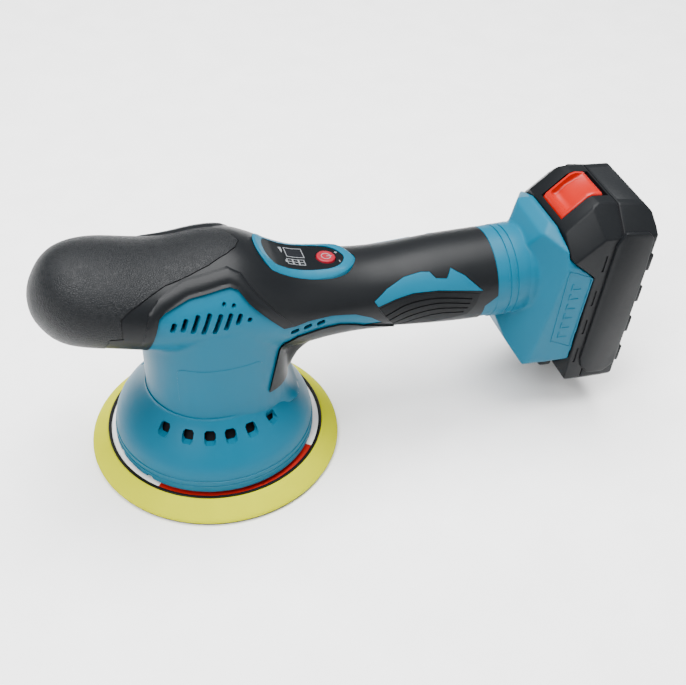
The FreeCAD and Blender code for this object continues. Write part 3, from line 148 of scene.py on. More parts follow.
PACK_SIDE = ((0.3, 32.3), (-17.4, 45.6), (-19.0, 56.0), (-17.6, 58.0), (-3.6, 72.2),
             (-0.2, 73.6), (29.6, 71.6), (33.6, 68.0), (34.6, 62.0), (34.6, -46.0),
             (32.6, -52.0), (27.0, -55.6), (9.0, -54.4), (3.4, -50.4), (0.3, -46.0))
FOOT_FRAME = ((-16.1, -14.4), (-2.0, -20.3), (-0.6, 31.5), (-17.0, 38.0))
# Planes that cut the foot and the pack, as (point, outward direction), used on both sides.
FOOT_CUTS = (
    ((0.0, 36.5, 40.0), (0.0, 10.0, 3.4)),
    ((0.0, 31.0, 54.0), (0.0, 8.0, 10.0)),
    ((-21.0, 14.0, 58.0), (-2.0, 4.5, 10.0)),
    ((0.0, 36.5, -30.0), (0.0, 9.0, -9.0)),
    ((-24.0, 36.5, 0.0), (-15.0, 11.0, 2.2)),
)
PACK_CUTS = (
    ((0.0, 37.4, 59.0), (0.0, 14.0, 16.0)),
    ((0.0, 37.5, -47.0), (0.0, 10.0, -9.0)),
    ((-14.0, 25.0, 60.0), (-9.7, 11.9, 10.1)),
)
CASE_SPLIT = 12.0
PLATEAU = ((7.6, 55.0), (11.6, 63.2), (28.0, 61.6), (31.6, 57.4), (33.2, 32.0), (33.4, -37.0),
           (26.0, -43.6), (15.2, -43.0), (9.4, -37.0), (7.0, -30.0))
TOP_LINE = 73.6


# ---------------------------------------------------------------- settings
class PolisherColours(bpy.types.PropertyGroup):
    shell: bpy.props.FloatVectorProperty(
        name="Shell", description="Colour of the hard housing", subtype="COLOR", size=3,
        default=(0.0, 0.088, 0.150), min=0.0, max=1.0)
    rubber: bpy.props.FloatVectorProperty(
        name="Rubber", description="Colour of the moulded rubber", subtype="COLOR", size=3,
        default=(0.0050, 0.0058, 0.0068), min=0.0, max=1.0)
    pack: bpy.props.FloatVectorProperty(
        name="Pack", description="Colour of the battery pack's cases", subtype="COLOR", size=3,
        default=(0.0050, 0.0058, 0.0068), min=0.0, max=1.0)
    foam: bpy.props.FloatVectorProperty(
        name="Foam", description="Colour of the pad's foam ring", subtype="COLOR", size=3,
        default=(0.44, 0.45, 0.0), min=0.0, max=1.0)
    latch: bpy.props.FloatVectorProperty(
        name="Latch", description="Colour of the latch button", subtype="COLOR", size=3,
        default=(0.34, 0.004, 0.0005), min=0.0, max=1.0)


class PolisherSizes(bpy.types.PropertyGroup):
    skin_voxel: bpy.props.FloatProperty(
        name="Skin grid", description="Grid on which the housing's parts are blended",
        default=1.2 * MM, min=0.5 * MM, max=4 * MM, subtype="DISTANCE", unit="LENGTH")
    rubber_proud: bpy.props.FloatProperty(
        name="Rubber proud", description="How far the rubber stands proud of the shell",
        default=0.35 * MM, min=0.0, max=2 * MM, subtype="DISTANCE", unit="LENGTH")
    lip_proud: bpy.props.FloatProperty(
        name="Lip proud", description="Height of the rubber lip along the cheek",
        default=1.5 * MM, min=0.0, max=4 * MM, subtype="DISTANCE", unit="LENGTH")
    edge_round: bpy.props.FloatProperty(
        name="Edge round", description="Radius on the pack's edges",
        default=2.2 * MM, min=0.1 * MM, max=5 * MM, subtype="DISTANCE", unit="LENGTH")


# ---------------------------------------------------------------- mesh helpers
def link(name, bm):
    """Finish a bmesh as an object with merged doubles and outward normals."""
    bmesh.ops.remove_doubles(bm, verts=bm.verts, dist=1e-6)
    bmesh.ops.recalc_face_normals(bm, faces=bm.faces)
    mesh = bpy.data.meshes.new(name)
    bm.to_mesh(mesh)
    bm.free()
    piece = bpy.data.objects.new(name, mesh)
    bpy.context.scene.collection.objects.link(piece)
    return piece


def settle(piece):
    """Apply a piece's modifiers."""
    graph = bpy.context.evaluated_depsgraph_get()
    old = piece.data
    mesh = bpy.data.meshes.new_from_object(piece.evaluated_get(graph))
    piece.modifiers.clear()
    piece.data = mesh
    mesh.name = piece.name
    bpy.data.meshes.remove(old)
    return piece


def smooth(piece, angle=35.0):
    """Shade a piece smoothly, with creases kept sharp."""
    piece.data.polygons.foreach_set("use_smooth", [True] * len(piece.data.polygons))
    piece.data.set_sharp_from_angle(angle=math.radians(angle))
    return piece


def copied(piece, name):
    """A second object with its own mesh."""
    other = piece.copy()
    other.data = piece.data.copy()
    other.name = other.data.name = name
    bpy.context.scene.collection.objects.link(other)
    return other


def discard(*pieces):
    """Remove working objects."""
    for piece in pieces:
        mesh = piece.data
        bpy.data.objects.remove(piece)
        bpy.data.meshes.remove(mesh)


def carve(piece, cutter, operation="DIFFERENCE", keep=False):
    """Cut, join or intersect a piece with a cutter."""
    change = piece.modifiers.new("carve", "BOOLEAN")
    change.operation = operation
    change.solver = "EXACT"
    change.object = cutter
    settle(piece)
    if not keep:
        discard(cutter)
    return piece


def grown(points, by):
    """A closed outline moved outwards by a distance."""
    total = len(points)
    area = sum(points[i][0] * points[(i + 1) % total][1] - points[(i + 1) % total][0] * points[i][1]
               for i in range(total))
    side = 1.0 if area > 0 else -1.0
    out = []
    for index in range(total):
        before, here, after = (Vector(points[(index + step) % total]) for step in (-1, 0, 1))
        first = (here - before).normalized()
        second = (after - here).normalized()
        normal = Vector((first.y + second.y, -first.x - second.x)).normalized() * side
        spread = max(0.5, normal.dot(Vector((first.y, -first.x)) * side))
        out.append(tuple(here + normal * (by / spread)))
    return out


def curved(a, b, c, d, steps):
    """Points of a smooth curve from b towards c, with a and d as its neighbours."""
    a, b, c, d = Vector(a), Vector(b), Vector(c), Vector(d)
    out = []
    for step in range(steps):
        t = step / steps
        out.append(tuple(0.5 * (2 * b + (c - a) * t + (2 * a - 5 * b + 4 * c - d) * t * t
                                + (3 * b - a - 3 * c + d) * t ** 3)))
    return out


def rounded(points, steps=4):
    """A closed outline with smooth curves through its corners."""
    total = len(points)
    out = []
    for index in range(total):
        out += curved(*(points[(index + step) % total] for step in (-1, 0, 1, 2)), steps)
    return out


def rounded_line(points, steps=4):
    """An open line with smooth curves through its points."""
    ends = [points[0]] + list(points) + [points[-1]]
    out = []
    for run in zip(ends, ends[1:], ends[2:], ends[3:]):
        out += curved(*run, steps)
    return out + [points[-1]]


def strip(points, half):
    """A band of even width along an open line."""
    left, right = [], []
    for index, point in enumerate(points):
        before = Vector(points[max(index - 1, 0)])
        after = Vector(points[min(index + 1, len(points) - 1)])
        along = (after - before).normalized()
        normal = Vector((-along.y, along.x)) * half
        left.append(tuple(Vector(point) + normal))
        right.append(tuple(Vector(point) - normal))
    return left + right[::-1]


LAYOUT = {
    "XZ": lambda a, b, c: Vector((a, c, b)) * MM,
    "XY": lambda a, b, c: Vector((a, b, c)) * MM,
    "YZ": lambda a, b, c: Vector((c, a, b)) * MM,
}


def add_prism(bm, points, plane, low, high):
    """Extrude an outline across its plane."""
    place = LAYOUT[plane]
    face = bm.faces.new([bm.verts.new(place(a, b, low)) for a, b in points])
    made = bmesh.ops.extrude_face_region(bm, geom=[face])
    tops = [item for item in made["geom"] if isinstance(item, bmesh.types.BMVert)]
    bmesh.ops.translate(bm, verts=tops, vec=place(0, 0, high - low))
    return tops


def prism(name, points, plane="XZ", low=-70.0, high=70.0):
    """A block from one outline."""
    bm = bmesh.new()
    add_prism(bm, points, plane, low, high)
    return link(name, bm)


def notched(zone, points, plane="XZ"):
    """Cut an outline right through a zone."""
    low, high = (-80.0, 80.0) if plane == "XZ" else (100.0, 190.0)
    return carve(zone, prism("notch", points, plane, low, high))


def turned(name, profile, steps=128, centre=(0.0, 0.0), closed=True):
    """A turned piece from (radius, height) about a vertical axis."""
    bm = bmesh.new()
    verts = [bm.verts.new((radius * MM, 0.0, height * MM)) for radius, height in profile]
    pairs = list(zip(verts, verts[1:] + verts[:1])) if closed else list(zip(verts, verts[1:]))
    edges = [bm.edges.new(pair) for pair in pairs]
    bmesh.ops.spin(bm, geom=verts + edges, cent=(0, 0, 0), axis=(0, 0, 1),
                   angle=math.tau, steps=steps, use_merge=True)
    bmesh.ops.translate(bm, verts=bm.verts, vec=(centre[0] * MM, centre[1] * MM, 0.0))
    return link(name, bm)


def bevelled(piece, width, segments=3, angle=30.0):
    """Round a piece's edges."""
    change = piece.modifiers.new("edges", "BEVEL")
    change.width = width * MM
    change.segments = segments
    change.limit_method = "ANGLE"
    change.angle_limit = math.radians(angle)
    change.harden_normals = False
    return settle(piece)


def finish(piece, material, body, slot, *nodes):
    """Give a piece its material and body, and hide the CAD nodes it stands for; the slot is not
    used.
    """
    piece.data.materials.clear()
    piece.data.materials.append(material)
    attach(piece, body)
    if nodes:
        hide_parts(*nodes)
    return piece


# ---------------------------------------------------------------- materials
def material(name, colour, roughness, **sockets):
    """A principled material, with constants set on its own sockets."""
    made = bpy.data.materials.new(name)
    made.use_nodes = True
    shader = made.node_tree.nodes["Principled BSDF"]
    shader.inputs["Base Color"].default_value = (*colour, 1.0)
    shader.inputs["Roughness"].default_value = roughness
    for socket, value in sockets.items():
        shader.inputs[socket.replace("_", " ")].default_value = value
    return made, made.node_tree, shader


def object_noise(tree, scale, detail=3.0, roughness=0.5):
    """Noise on the piece's own coordinates."""
    place = tree.nodes.new("ShaderNodeTexCoord")
    noise = tree.nodes.new("ShaderNodeTexNoise")
    noise.inputs["Scale"].default_value = scale
    noise.inputs["Detail"].default_value = detail
    noise.inputs["Roughness"].default_value = roughness
    tree.links.new(place.outputs["Object"], noise.inputs["Vector"])
    return noise


def spread(tree, source, low, high, start=0.3, end=0.7):
    """Map a texture value to a range."""
    ramp = tree.nodes.new("ShaderNodeMapRange")
    ramp.inputs["From Min"].default_value = start
    ramp.inputs["From Max"].default_value = end
    ramp.inputs["To Min"].default_value = low
    ramp.inputs["To Max"].default_value = high
    tree.links.new(source, ramp.inputs["Value"])
    return ramp.outputs["Result"]


def tinted(tree, shader, colour, source, amount):
    """Vary a colour a little by a texture value."""
    mix = tree.nodes.new("ShaderNodeMix")
    mix.data_type = "RGBA"
    mix.inputs["A"].default_value = (*[part * (1 - amount) for part in colour], 1.0)
    mix.inputs["B"].default_value = (*[min(1.0, part * (1 + amount)) for part in colour], 1.0)
    tree.links.new(source, mix.inputs["Factor"])
    tree.links.new(mix.outputs["Result"], shader.inputs["Base Color"])


def bumped(tree, shader, source, strength, distance):
    """Raise a texture value as a bump."""
    bump = tree.nodes.new("ShaderNodeBump")
    bump.inputs["Strength"].default_value = strength
    bump.inputs["Distance"].default_value = distance * MM
    tree.links.new(source, bump.inputs["Height"])
    tree.links.new(bump.outputs["Normal"], shader.inputs["Normal"])


def moulded(name, colour, roughness, grain=1500.0, strength=0.25, distance=0.03, **sockets):
    """Moulded plastic or rubber: fine spark grain, slow colour and gloss changes."""
    made, tree, shader = material(name, colour, roughness, **sockets)
    slow = object_noise(tree, 28.0)
    tinted(tree, shader, colour, slow.outputs["Fac"], 0.06)
    tree.links.new(spread(tree, slow.outputs["Fac"], roughness - 0.05, roughness + 0.06),
                   shader.inputs["Roughness"])
    fine = object_noise(tree, grain, 2.0)
    bumped(tree, shader, fine.outputs["Fac"], strength, distance)
    return made


def grained(name, colour, roughness):
    """Rubber with a leather grain of small raised cells, with painted shade in the grooves between
    them.
    """
    made, tree, shader = material(name, colour, roughness, Specular_IOR_Level=0.16)
    place = tree.nodes.new("ShaderNodeTexCoord")
    cells = tree.nodes.new("ShaderNodeTexVoronoi")
    cells.feature = "DISTANCE_TO_EDGE"
    cells.inputs["Scale"].default_value = 900.0
    tree.links.new(place.outputs["Object"], cells.inputs["Vector"])
    ridge = spread(tree, cells.outputs["Distance"], 0.0, 1.0, 0.02, 0.22)
    # Grooves between the cells painted darker and their tops lighter: painted shade and painted
    # highlight that follow the bump.
    tinted(tree, shader, colour, ridge, 0.22)
    bumped(tree, shader, ridge, 0.75, 0.16)
    return made


def cell_foam(name, colour):
    """Fine open foam: small pores and a soft uneven tone."""
    made, tree, shader = material(name, colour, 0.8, Specular_IOR_Level=0.08)
    slow = object_noise(tree, 60.0)
    tinted(tree, shader, colour, slow.outputs["Fac"], 0.07)
    place = tree.nodes.new("ShaderNodeTexCoord")
    pores = tree.nodes.new("ShaderNodeTexVoronoi")
    pores.inputs["Scale"].default_value = 1400.0
    tree.links.new(place.outputs["Object"], pores.inputs["Vector"])
    bumped(tree, shader, pores.outputs["Distance"], 0.5, 0.12)
    return made


def metal(name, colour, roughness, grain=400.0):
    """Machined metal with fine streaks."""
    made, tree, shader = material(name, colour, roughness, Metallic=1.0)
    noise = object_noise(tree, grain, 3.0)
    tree.links.new(spread(tree, noise.outputs["Fac"], roughness - 0.08, roughness + 0.1),
                   shader.inputs["Roughness"])
    bumped(tree, shader, noise.outputs["Fac"], 0.15, 0.02)
    return made


def printed_ring(name):
    """The printed ring on the plate: white, with one red sector, by angle about the pad axis."""
    made, tree, shader = material(name, (0.86, 0.86, 0.85), 0.35)
    place = tree.nodes.new("ShaderNodeTexCoord")
    shift = tree.nodes.new("ShaderNodeMapping")
    shift.inputs["Location"].default_value = (-PAD_AXIS[0] * MM, -PAD_AXIS[1] * MM, 0.0)
    parts = tree.nodes.new("ShaderNodeSeparateXYZ")
    angle = tree.nodes.new("ShaderNodeMath")
    angle.operation = "ARCTAN2"
    tree.links.new(place.outputs["Object"], shift.inputs["Vector"])
    tree.links.new(shift.outputs["Vector"], parts.inputs["Vector"])
    tree.links.new(parts.outputs["Y"], angle.inputs[0])
    tree.links.new(parts.outputs["X"], angle.inputs[1])
    middle = tree.nodes.new("ShaderNodeMath")
    middle.operation = "ADD"
    middle.inputs[1].default_value = math.radians(85.5)
    tree.links.new(angle.outputs["Value"], middle.inputs[0])
    away = tree.nodes.new("ShaderNodeMath")
    away.operation = "ABSOLUTE"
    tree.links.new(middle.outputs["Value"], away.inputs[0])
    inside = tree.nodes.new("ShaderNodeMath")
    inside.operation = "LESS_THAN"
    inside.inputs[1].default_value = math.radians(48.5)
    tree.links.new(away.outputs["Value"], inside.inputs[0])
    mix = tree.nodes.new("ShaderNodeMix")
    mix.data_type = "RGBA"
    mix.inputs["A"].default_value = (0.86, 0.86, 0.85, 1.0)
    mix.inputs["B"].default_value = (0.36, 0.006, 0.002, 1.0)
    tree.links.new(inside.outputs["Value"], mix.inputs["Factor"])
    tree.links.new(mix.outputs["Result"], shader.inputs["Base Color"])
    return made


def make_materials(colours):
    """Every finish of the tool, by name."""
    shell, rubber, pack = colours.shell, colours.rubber, colours.pack
    return {
        "shell": moulded("Teal shell plastic", shell, 0.4, 1300.0, 0.22, 0.03,
                         Specular_IOR_Level=0.14),
        "rubber": moulded("Smooth moulded rubber", rubber, 0.38, 1700.0, 0.3, 0.03,
                          Specular_IOR_Level=0.14),
        # The grained rubber is the smooth rubber made lighter: painted sheen of its grain.
        "grain": grained("Leather grained rubber", [part * 1.15 for part in rubber], 0.42),
        "grip": moulded("Grip pad rubber", [part * 0.8 for part in rubber], 0.55, 1200.0, 0.4,
                        0.05, Specular_IOR_Level=0.12),
        "pack": moulded("Pack case plastic", pack, 0.4, 1500.0, 0.2, 0.03,
                        Specular_IOR_Level=0.11),
        "plate": moulded("Textured pack plate", [part * 1.2 for part in pack], 0.5, 700.0, 0.9,
                         0.12, Specular_IOR_Level=0.16),
        # Near-black painted shade, laid behind slots, vents and seams so that they read dark.
        "dark": moulded("Dark painted shade behind gaps and vents", (0.004, 0.004, 0.005), 0.6, Specular_IOR_Level=0.1),
        "film": moulded("Panel film", (0.004, 0.005, 0.006), 0.3, 900.0, 0.05, 0.01,
                        Specular_IOR_Level=0.1),
        "mark": moulded("White panel print", (0.16, 0.17, 0.18), 0.4),
        "glass": moulded("Display glass", (0.008, 0.009, 0.011), 0.2, 900.0, 0.02, 0.01,
                         Specular_IOR_Level=0.1),
        "button": moulded("Red push button", (0.22, 0.006, 0.016), 0.35, 1500.0, 0.1, 0.02,
                          Specular_IOR_Level=0.2),
        "latch": moulded("Latch plastic", colours.latch, 0.3, 1500.0, 0.15, 0.02,
                         Specular_IOR_Level=0.3),
        "foam": cell_foam("Yellow pad foam", colours.foam),
        "ring": printed_ring("Printed ring"),
        "plate_black": moulded("Black plate plastic", (0.004, 0.004, 0.004), 0.36,
                               Specular_IOR_Level=0.14),
        "hook": cell_foam("Hook face", (0.03, 0.03, 0.03)),
        "steel": metal("Machined steel", (0.56, 0.57, 0.59), 0.3),
        "iron": metal("Cast iron", (0.20, 0.20, 0.21), 0.55, 150.0),
        "copper": metal("Enamelled copper wire", (0.72, 0.28, 0.12), 0.35, 900.0),
        "brass": metal("Machined brass", (0.76, 0.55, 0.22), 0.3),
        "aluminium": metal("Machined aluminium", (0.77, 0.78, 0.80), 0.35),
        "board": moulded("Circuit board", (0.010, 0.10, 0.035), 0.35, 400.0, 0.3, 0.05),
        "sleeve": moulded("Cell sleeve", (0.03, 0.14, 0.30), 0.3),
        "wire_red": moulded("Red wire", (0.45, 0.012, 0.010), 0.45),
        "wire_black": moulded("Black wire", (0.012, 0.012, 0.012), 0.45),
        "floor": moulded("Pale floor", (0.93, 0.93, 0.93), 0.8, 8.0, 0.0, 0.0),
    }


SLOT_FINISH = {
    "teal_plastic": "shell", "black_rubber": "rubber", "grained_rubber": "grain",
    "grip_rubber": "grip", "inlay_plastic": "shell", "dark_plastic": "pack", "film": "film",
    "display": "glass", "button_orange": "latch", "board_green": "board", "steel": "steel",
    "iron": "iron", "copper": "copper", "brass": "brass", "aluminium": "aluminium",
    "cell_metal": "sleeve", "foam": "foam", "hook": "hook", "plate_black": "plate_black",
    "print_white": "ring", "wire_red": "wire_red", "wire_black": "wire_black",
}
FINISH = {}
SHOP = {}


# ---------------------------------------------------------------- housing skin
def ring(bm, at, half_wide, middle, half_high, segments=64):
    """One elliptical ring of the head and handle."""
    made = bmesh.ops.create_circle(bm, cap_ends=False, segments=segments, radius=1.0)
    turn = Matrix(((0, 0, 1, at * MM), (half_wide * MM, 0, 0, 0),
                   (0, half_high * MM, 0, middle * MM), (0, 0, 0, 1)))
    bmesh.ops.transform(bm, matrix=turn, verts=made["verts"])
    return list({edge for vert in made["verts"] for edge in vert.link_edges})


def neck_ring(bm, height, flare, segments=72):
    """One ring of the neck: round in front, squarer behind, flared at its foot."""
    made = bmesh.ops.create_circle(bm, cap_ends=False, segments=segments, radius=1.0)
    for vert in made["verts"]:
        angle = math.atan2(vert.co.y, vert.co.x)
        across, along = abs(math.sin(angle)), math.cos(angle)
        reach = NECK_RADIUS
        if along > 0:
            reach = ((along / NECK_BACK) ** NECK_SQUARE
                     + (across / NECK_RADIUS) ** NECK_SQUARE) ** (-1 / NECK_SQUARE)
            weight = min(1.0, max(0.0, (along - 0.74) / 0.2))
            reach += flare * weight * weight * (3 - 2 * weight)
        vert.co = Vector((reach * math.cos(angle), reach * math.sin(angle), height)) * MM
    return list({edge for vert in made["verts"] for edge in vert.link_edges})


def bridged(name, bm, loops):
    """A closed skin over a row of rings."""
    for first, second in zip(loops, loops[1:]):
        bmesh.ops.bridge_loops(bm, edges=first + second)
    for end in (loops[0], loops[-1]):
        bmesh.ops.contextual_create(bm, geom=end)
    return link(name, bm)


def tube_solid():
    """The head and handle as one closed loft."""
    bm = bmesh.new()
    loops = [ring(bm, *section) for section in SECTIONS]
    piece = bridged("tube", bm, loops)
    round_out = piece.modifiers.new("round", "SUBSURF")
    round_out.levels = round_out.render_levels = 2
    return settle(piece)


def neck_solid():
    """The neck with its flared back."""
    bm = bmesh.new()
    loops = [neck_ring(bm, height, flare) for height, flare in NECK_RINGS]
    return bridged("neck", bm, loops)


def joined(name, pieces):
    """Join several closed pieces into one mesh."""
    bm = bmesh.new()
    for piece in pieces:
        bm.from_mesh(piece.data)
    discard(*pieces)
    mesh = bpy.data.meshes.new(name)
    bm.to_mesh(mesh)
    bm.free()
    piece = bpy.data.objects.new(name, mesh)
    bpy.context.scene.collection.objects.link(piece)
    return piece


def blended(piece, grid, passes, soft=None, soft_passes=0):
    """Blend overlapping solids on a fine grid, then relax the joins."""
    remesh = piece.modifiers.new("blend", "REMESH")
    remesh.mode = "VOXEL"
    remesh.voxel_size = grid
    settle(piece)
    if soft:
        group = piece.vertex_groups.new(name="soft")
        for vert in piece.data.vertices:
            weight = soft(vert.co)
            if weight > 0.0:
                group.add([vert.index], weight, "REPLACE")
        relax = piece.modifiers.new("relax", "SMOOTH")
        relax.factor = 0.5
        relax.iterations = soft_passes
        relax.vertex_group = "soft"
    relax = piece.modifiers.new("relax all", "SMOOTH")
    relax.factor = 0.5
    relax.iterations = passes
    settle(piece)
    piece.vertex_groups.clear()
    return piece


def line_distance(point, line):
    """Distance from a point to an open line of straight runs."""
    best = 1e9
    for start, end in zip(line, line[1:]):
        ax, ay = start
        bx, by = end[0] - ax, end[1] - ay
        t = ((point[0] - ax) * bx + (point[1] - ay) * by) / (bx * bx + by * by)
        t = min(1.0, max(0.0, t))
        best = min(best, math.hypot(point[0] - ax - bx * t, point[1] - ay - by * t))
    return best


def proud(piece, name, by, extra=0.0, line=None, reach=7.0):
    """A copy pushed out along its normals, with an optional rounded swelling beside a line."""
    other = copied(piece, name)
    normals = [vert.normal.copy() for vert in other.data.vertices]
    for vert, normal in zip(other.data.vertices, normals):
        out = by
        if line and extra:
            away = line_distance((vert.co.x / MM, vert.co.z / MM), line)
            ends = min(math.dist((vert.co.x / MM, vert.co.z / MM), line[0]),
                       math.dist((vert.co.x / MM, vert.co.z / MM), line[-1]))
            if away < reach:
                out += (extra * min(1.0, ends / 20.0)
                        * (0.45 + 0.55 * math.sin(math.pi * (away / reach) ** 0.8)))
        vert.co += normal * out
    return other


def soft_joint(point):
    """How much the skin relaxes: most where the web and cheek run into the neck."""
    x, z = point.x / MM, point.z / MM
    if x > 24.0 and 64.0 < z < 100.0 and x < 100.0:
        return min(1.0, (x - 24.0) / 8.0)
    if x < -20.0 and z < 112.0:
        return 0.25
    if z > 88.0 and abs(x) < 40.0 and z < 108.0:
        return 0.6
    return 0.0


class POLISHER_OT_skin(bpy.types.Operator):
    """Blend head, handle, neck and web into the master skin that the housing pieces are cut from"""
    bl_idname = "polisher.skin"
    bl_label = "Master skin"

    def execute(self, context):
        sizes = context.scene.polisher_sizes
        web = bevelled(prism("web", WEB, "XZ", -WEB_HALF, WEB_HALF), 7.0, 4, 40.0)
        skin = joined("master_skin", [tube_solid(), neck_solid(), web])
        SHOP["skin"] = blended(skin, sizes.skin_voxel, 4, soft_joint, 36)
        return {"FINISHED"}


def slot_cutters():
    """Louvre slots in the cheeks and the small slots in the arm, as one cutter."""
    bm = bmesh.new()
    for along, middle, length in LOUVRES:
        rounded_slot(bm, (along, middle), 2.7, length, 24.0)
    for along, middle in ((3.2, 130.4), (8.2, 128.9)):
        rounded_slot(bm, (along, middle), 2.0, 2.4, 24.0)
    for along, middle in ((41.6, 103.0), (49.3, 103.4), (57.2, 103.1)):
        rounded_slot(bm, (along, middle), 5.0, 2.8, -8.0)
    return link("slot_cutters", bm)


def rounded_slot(bm, middle, wide, tall, lean):
    """One slot across the tool, with clipped corners."""
    clip = min(wide, tall) * 0.25
    x, y = wide / 2, tall / 2
    outline = ((-x + clip, -y), (x - clip, -y), (x, -y + clip), (x, y - clip), (x - clip, y),
               (-x + clip, y), (-x, y - clip), (-x, -y + clip))
    turn = math.radians(lean)
    spun = [(middle[0] + a * math.cos(turn) + b * math.sin(turn),
             middle[1] - a * math.sin(turn) + b * math.cos(turn)) for a, b in outline]
    return add_prism(bm, spun, "XZ", -70.0, 70.0)


class POLISHER_OT_shell(bpy.types.Operator):
    """Cut the hard shell: slots in its cheeks and arm, with a dark core behind them as painted shade
    in the slots
    """
    bl_idname = "polisher.shell"
    bl_label = "Hard shell"

    def execute(self, context):
        skin = SHOP["skin"]
        shell = carve(copied(skin, "shell_body"), slot_cutters())
        carve(shell, panel_piece("panel_pocket", grown(rounded(BEZEL_PLAN), -0.8), -5.0, 15.0))
        finish(smooth(shell), FINISH["shell"], "tool", "teal_plastic",
               "housing_left", "housing_right")
        # A near-black shell 5 mm inside the skin: painted shade seen through the slots.
        core = carve(proud(skin, "slot_shade_core", -5.0 * MM), prism(
            "core_zone", ((-34.0, 100.0), (-34.0, 138.0), (64.0, 138.0), (64.0, 96.0))), "INTERSECT")
        finish(smooth(core), FINISH["dark"], "tool", "dark_plastic")
        return {"FINISHED"}


class POLISHER_OT_plate(bpy.types.Operator):
    """Raise the faint smooth label field on the front of the neck"""
    bl_idname = "polisher.plate"
    bl_label = "Neck field"

    def execute(self, context):
        field = bevelled(prism("field_zone", rectangle(-24.2, 60.0, 22.6, 88.6), "XZ",
                               -70.0, -15.0), 4.0, 4, 30.0)
        plate = carve(proud(SHOP["skin"], "neck_field", 0.22 * MM), field, "INTERSECT")
        finish(smooth(plate), FINISH["shell"], "tool", "teal_plastic")
        return {"FINISHED"}


class POLISHER_OT_rubber(bpy.types.Operator):
    """Lay the moulded rubber over head and handle: skin with its lip, nose cover, neck strip"""
    bl_idname = "polisher.rubber"
    bl_label = "Moulded rubber"

    def execute(self, context):
        sizes = context.scene.polisher_sizes
        skin = SHOP["skin"]
        cover_zone = prism("cover_zone", COVER_TOP, "XY", 121.0, 180.0)
        carve(cover_zone, prism("cover_side", COVER_SIDE), "UNION")
        zone = prism("rubber_zone", GRIP_ZONE)
        for outline in (CHEEK, SPINE, grown(CRESCENT, 0.2), grown(GRIP_PAD, 0.2)):
            notched(zone, outline)
        notched(zone, rounded(BEZEL_PLAN), "XY")
        bed = carve(proud(skin, "rubber_bed", 0.05 * MM), zone, "INTERSECT", keep=True)
        finish(smooth(bed), FINISH["rubber"], "tool", "black_rubber")
        cover_gap = prism("cover_gap", grown(COVER_TOP, 0.45), "XY", 120.0, 181.0)
        carve(cover_gap, prism("cover_gap_side", grown(COVER_SIDE, 0.45), "XZ", -80.0, 80.0),
              "UNION")
        carve(zone, cover_gap)
        black = carve(proud(skin, "rubber_skin", sizes.rubber_proud + 0.15 * MM), zone,
                      "INTERSECT")
        band = prism("lip_zone", grown(CHEEK_TOP, LIP_WIDE))
        lip = carve(proud(skin, "cheek_lip", sizes.rubber_proud, sizes.lip_proud, CHEEK_TOP,
                          LIP_WIDE), band, "INTERSECT")
        notched(lip, CHEEK)
        finish(smooth(lip), FINISH["rubber"], "tool", "black_rubber")
        finish(smooth(black), FINISH["rubber"], "tool", "black_rubber",
               "overmould_left", "overmould_right")
        cover = carve(proud(skin, "nose_cover", sizes.rubber_proud + 0.4 * MM), cover_zone,
                      "INTERSECT")
        finish(smooth(cover), FINISH["grain"], "tool", "grained_rubber", "front_cover")
        strip_piece = carve(proud(skin, "neck_strip", 1.3 * MM), prism("spine_zone", SPINE),
                            "INTERSECT")
        finish(smooth(strip_piece), FINISH["rubber"], "tool", "black_rubber", "neck_spine")
        return {"FINISHED"}


class POLISHER_OT_inlays(bpy.types.Operator):
    """Set the crescent inlays and the ribbed grip pads in the sides of the handle"""
    bl_idname = "polisher.inlays"
    bl_label = "Inlays and grip pads"

    def execute(self, context):
        skin = SHOP["skin"]
        crescent = carve(proud(skin, "crescent_inlays", 0.75 * MM),
                         prism("crescent_zone", CRESCENT), "INTERSECT")
        finish(smooth(crescent), FINISH["shell"], "tool", "inlay_plastic", "crescent_inlays")
        zone = prism("grip_zone", GRIP_PAD)
        for groove in GRIP_GROOVES:
            notched(zone, strip(rounded_line(groove, 4), 0.45))
        pads = carve(proud(skin, "grip_pads", 0.75 * MM), zone, "INTERSECT")
        finish(smooth(pads), FINISH["grip"], "tool", "grip_rubber", "grip_pads")
        # A near-black layer under the inlays and pads: painted shade in the gaps round them.
        outline = prism("bed_zone", grown(GRIP_PAD, 0.6))
        carve(outline, prism("bed_more", grown(CRESCENT, 0.6), "XZ", -80.0, 80.0), "UNION")
        bed = carve(proud(skin, "grip_gap_shade", 0.1 * MM), outline, "INTERSECT")
        finish(smooth(bed), FINISH["dark"], "tool", "black_rubber")
        return {"FINISHED"}


# ---------------------------------------------------------------- control panel
def panel_height(along):
    """Height of the panel's surface at a place along the tool, in mm."""
    for (x0, z0), (x1, z1) in zip(PANEL_LINE, PANEL_LINE[1:]):
        if along <= x1:
            t = (along - x0) / (x1 - x0)
            return z0 + (z1 - z0) * t
    return PANEL_LINE[-1][1]


def laid(bm, step=2.0):
    """Cut a flat piece across its length and lay it on the panel line."""
    for count in range(int((90.0 - 24.0) / step)):
        bmesh.ops.bisect_plane(bm, geom=bm.verts[:] + bm.edges[:] + bm.faces[:], dist=1e-7,
                               plane_co=((24.0 + step * count) * MM, 0, 0), plane_no=(1, 0, 0))
    for vert in bm.verts:
        vert.co.z += panel_height(vert.co.x / MM) * MM


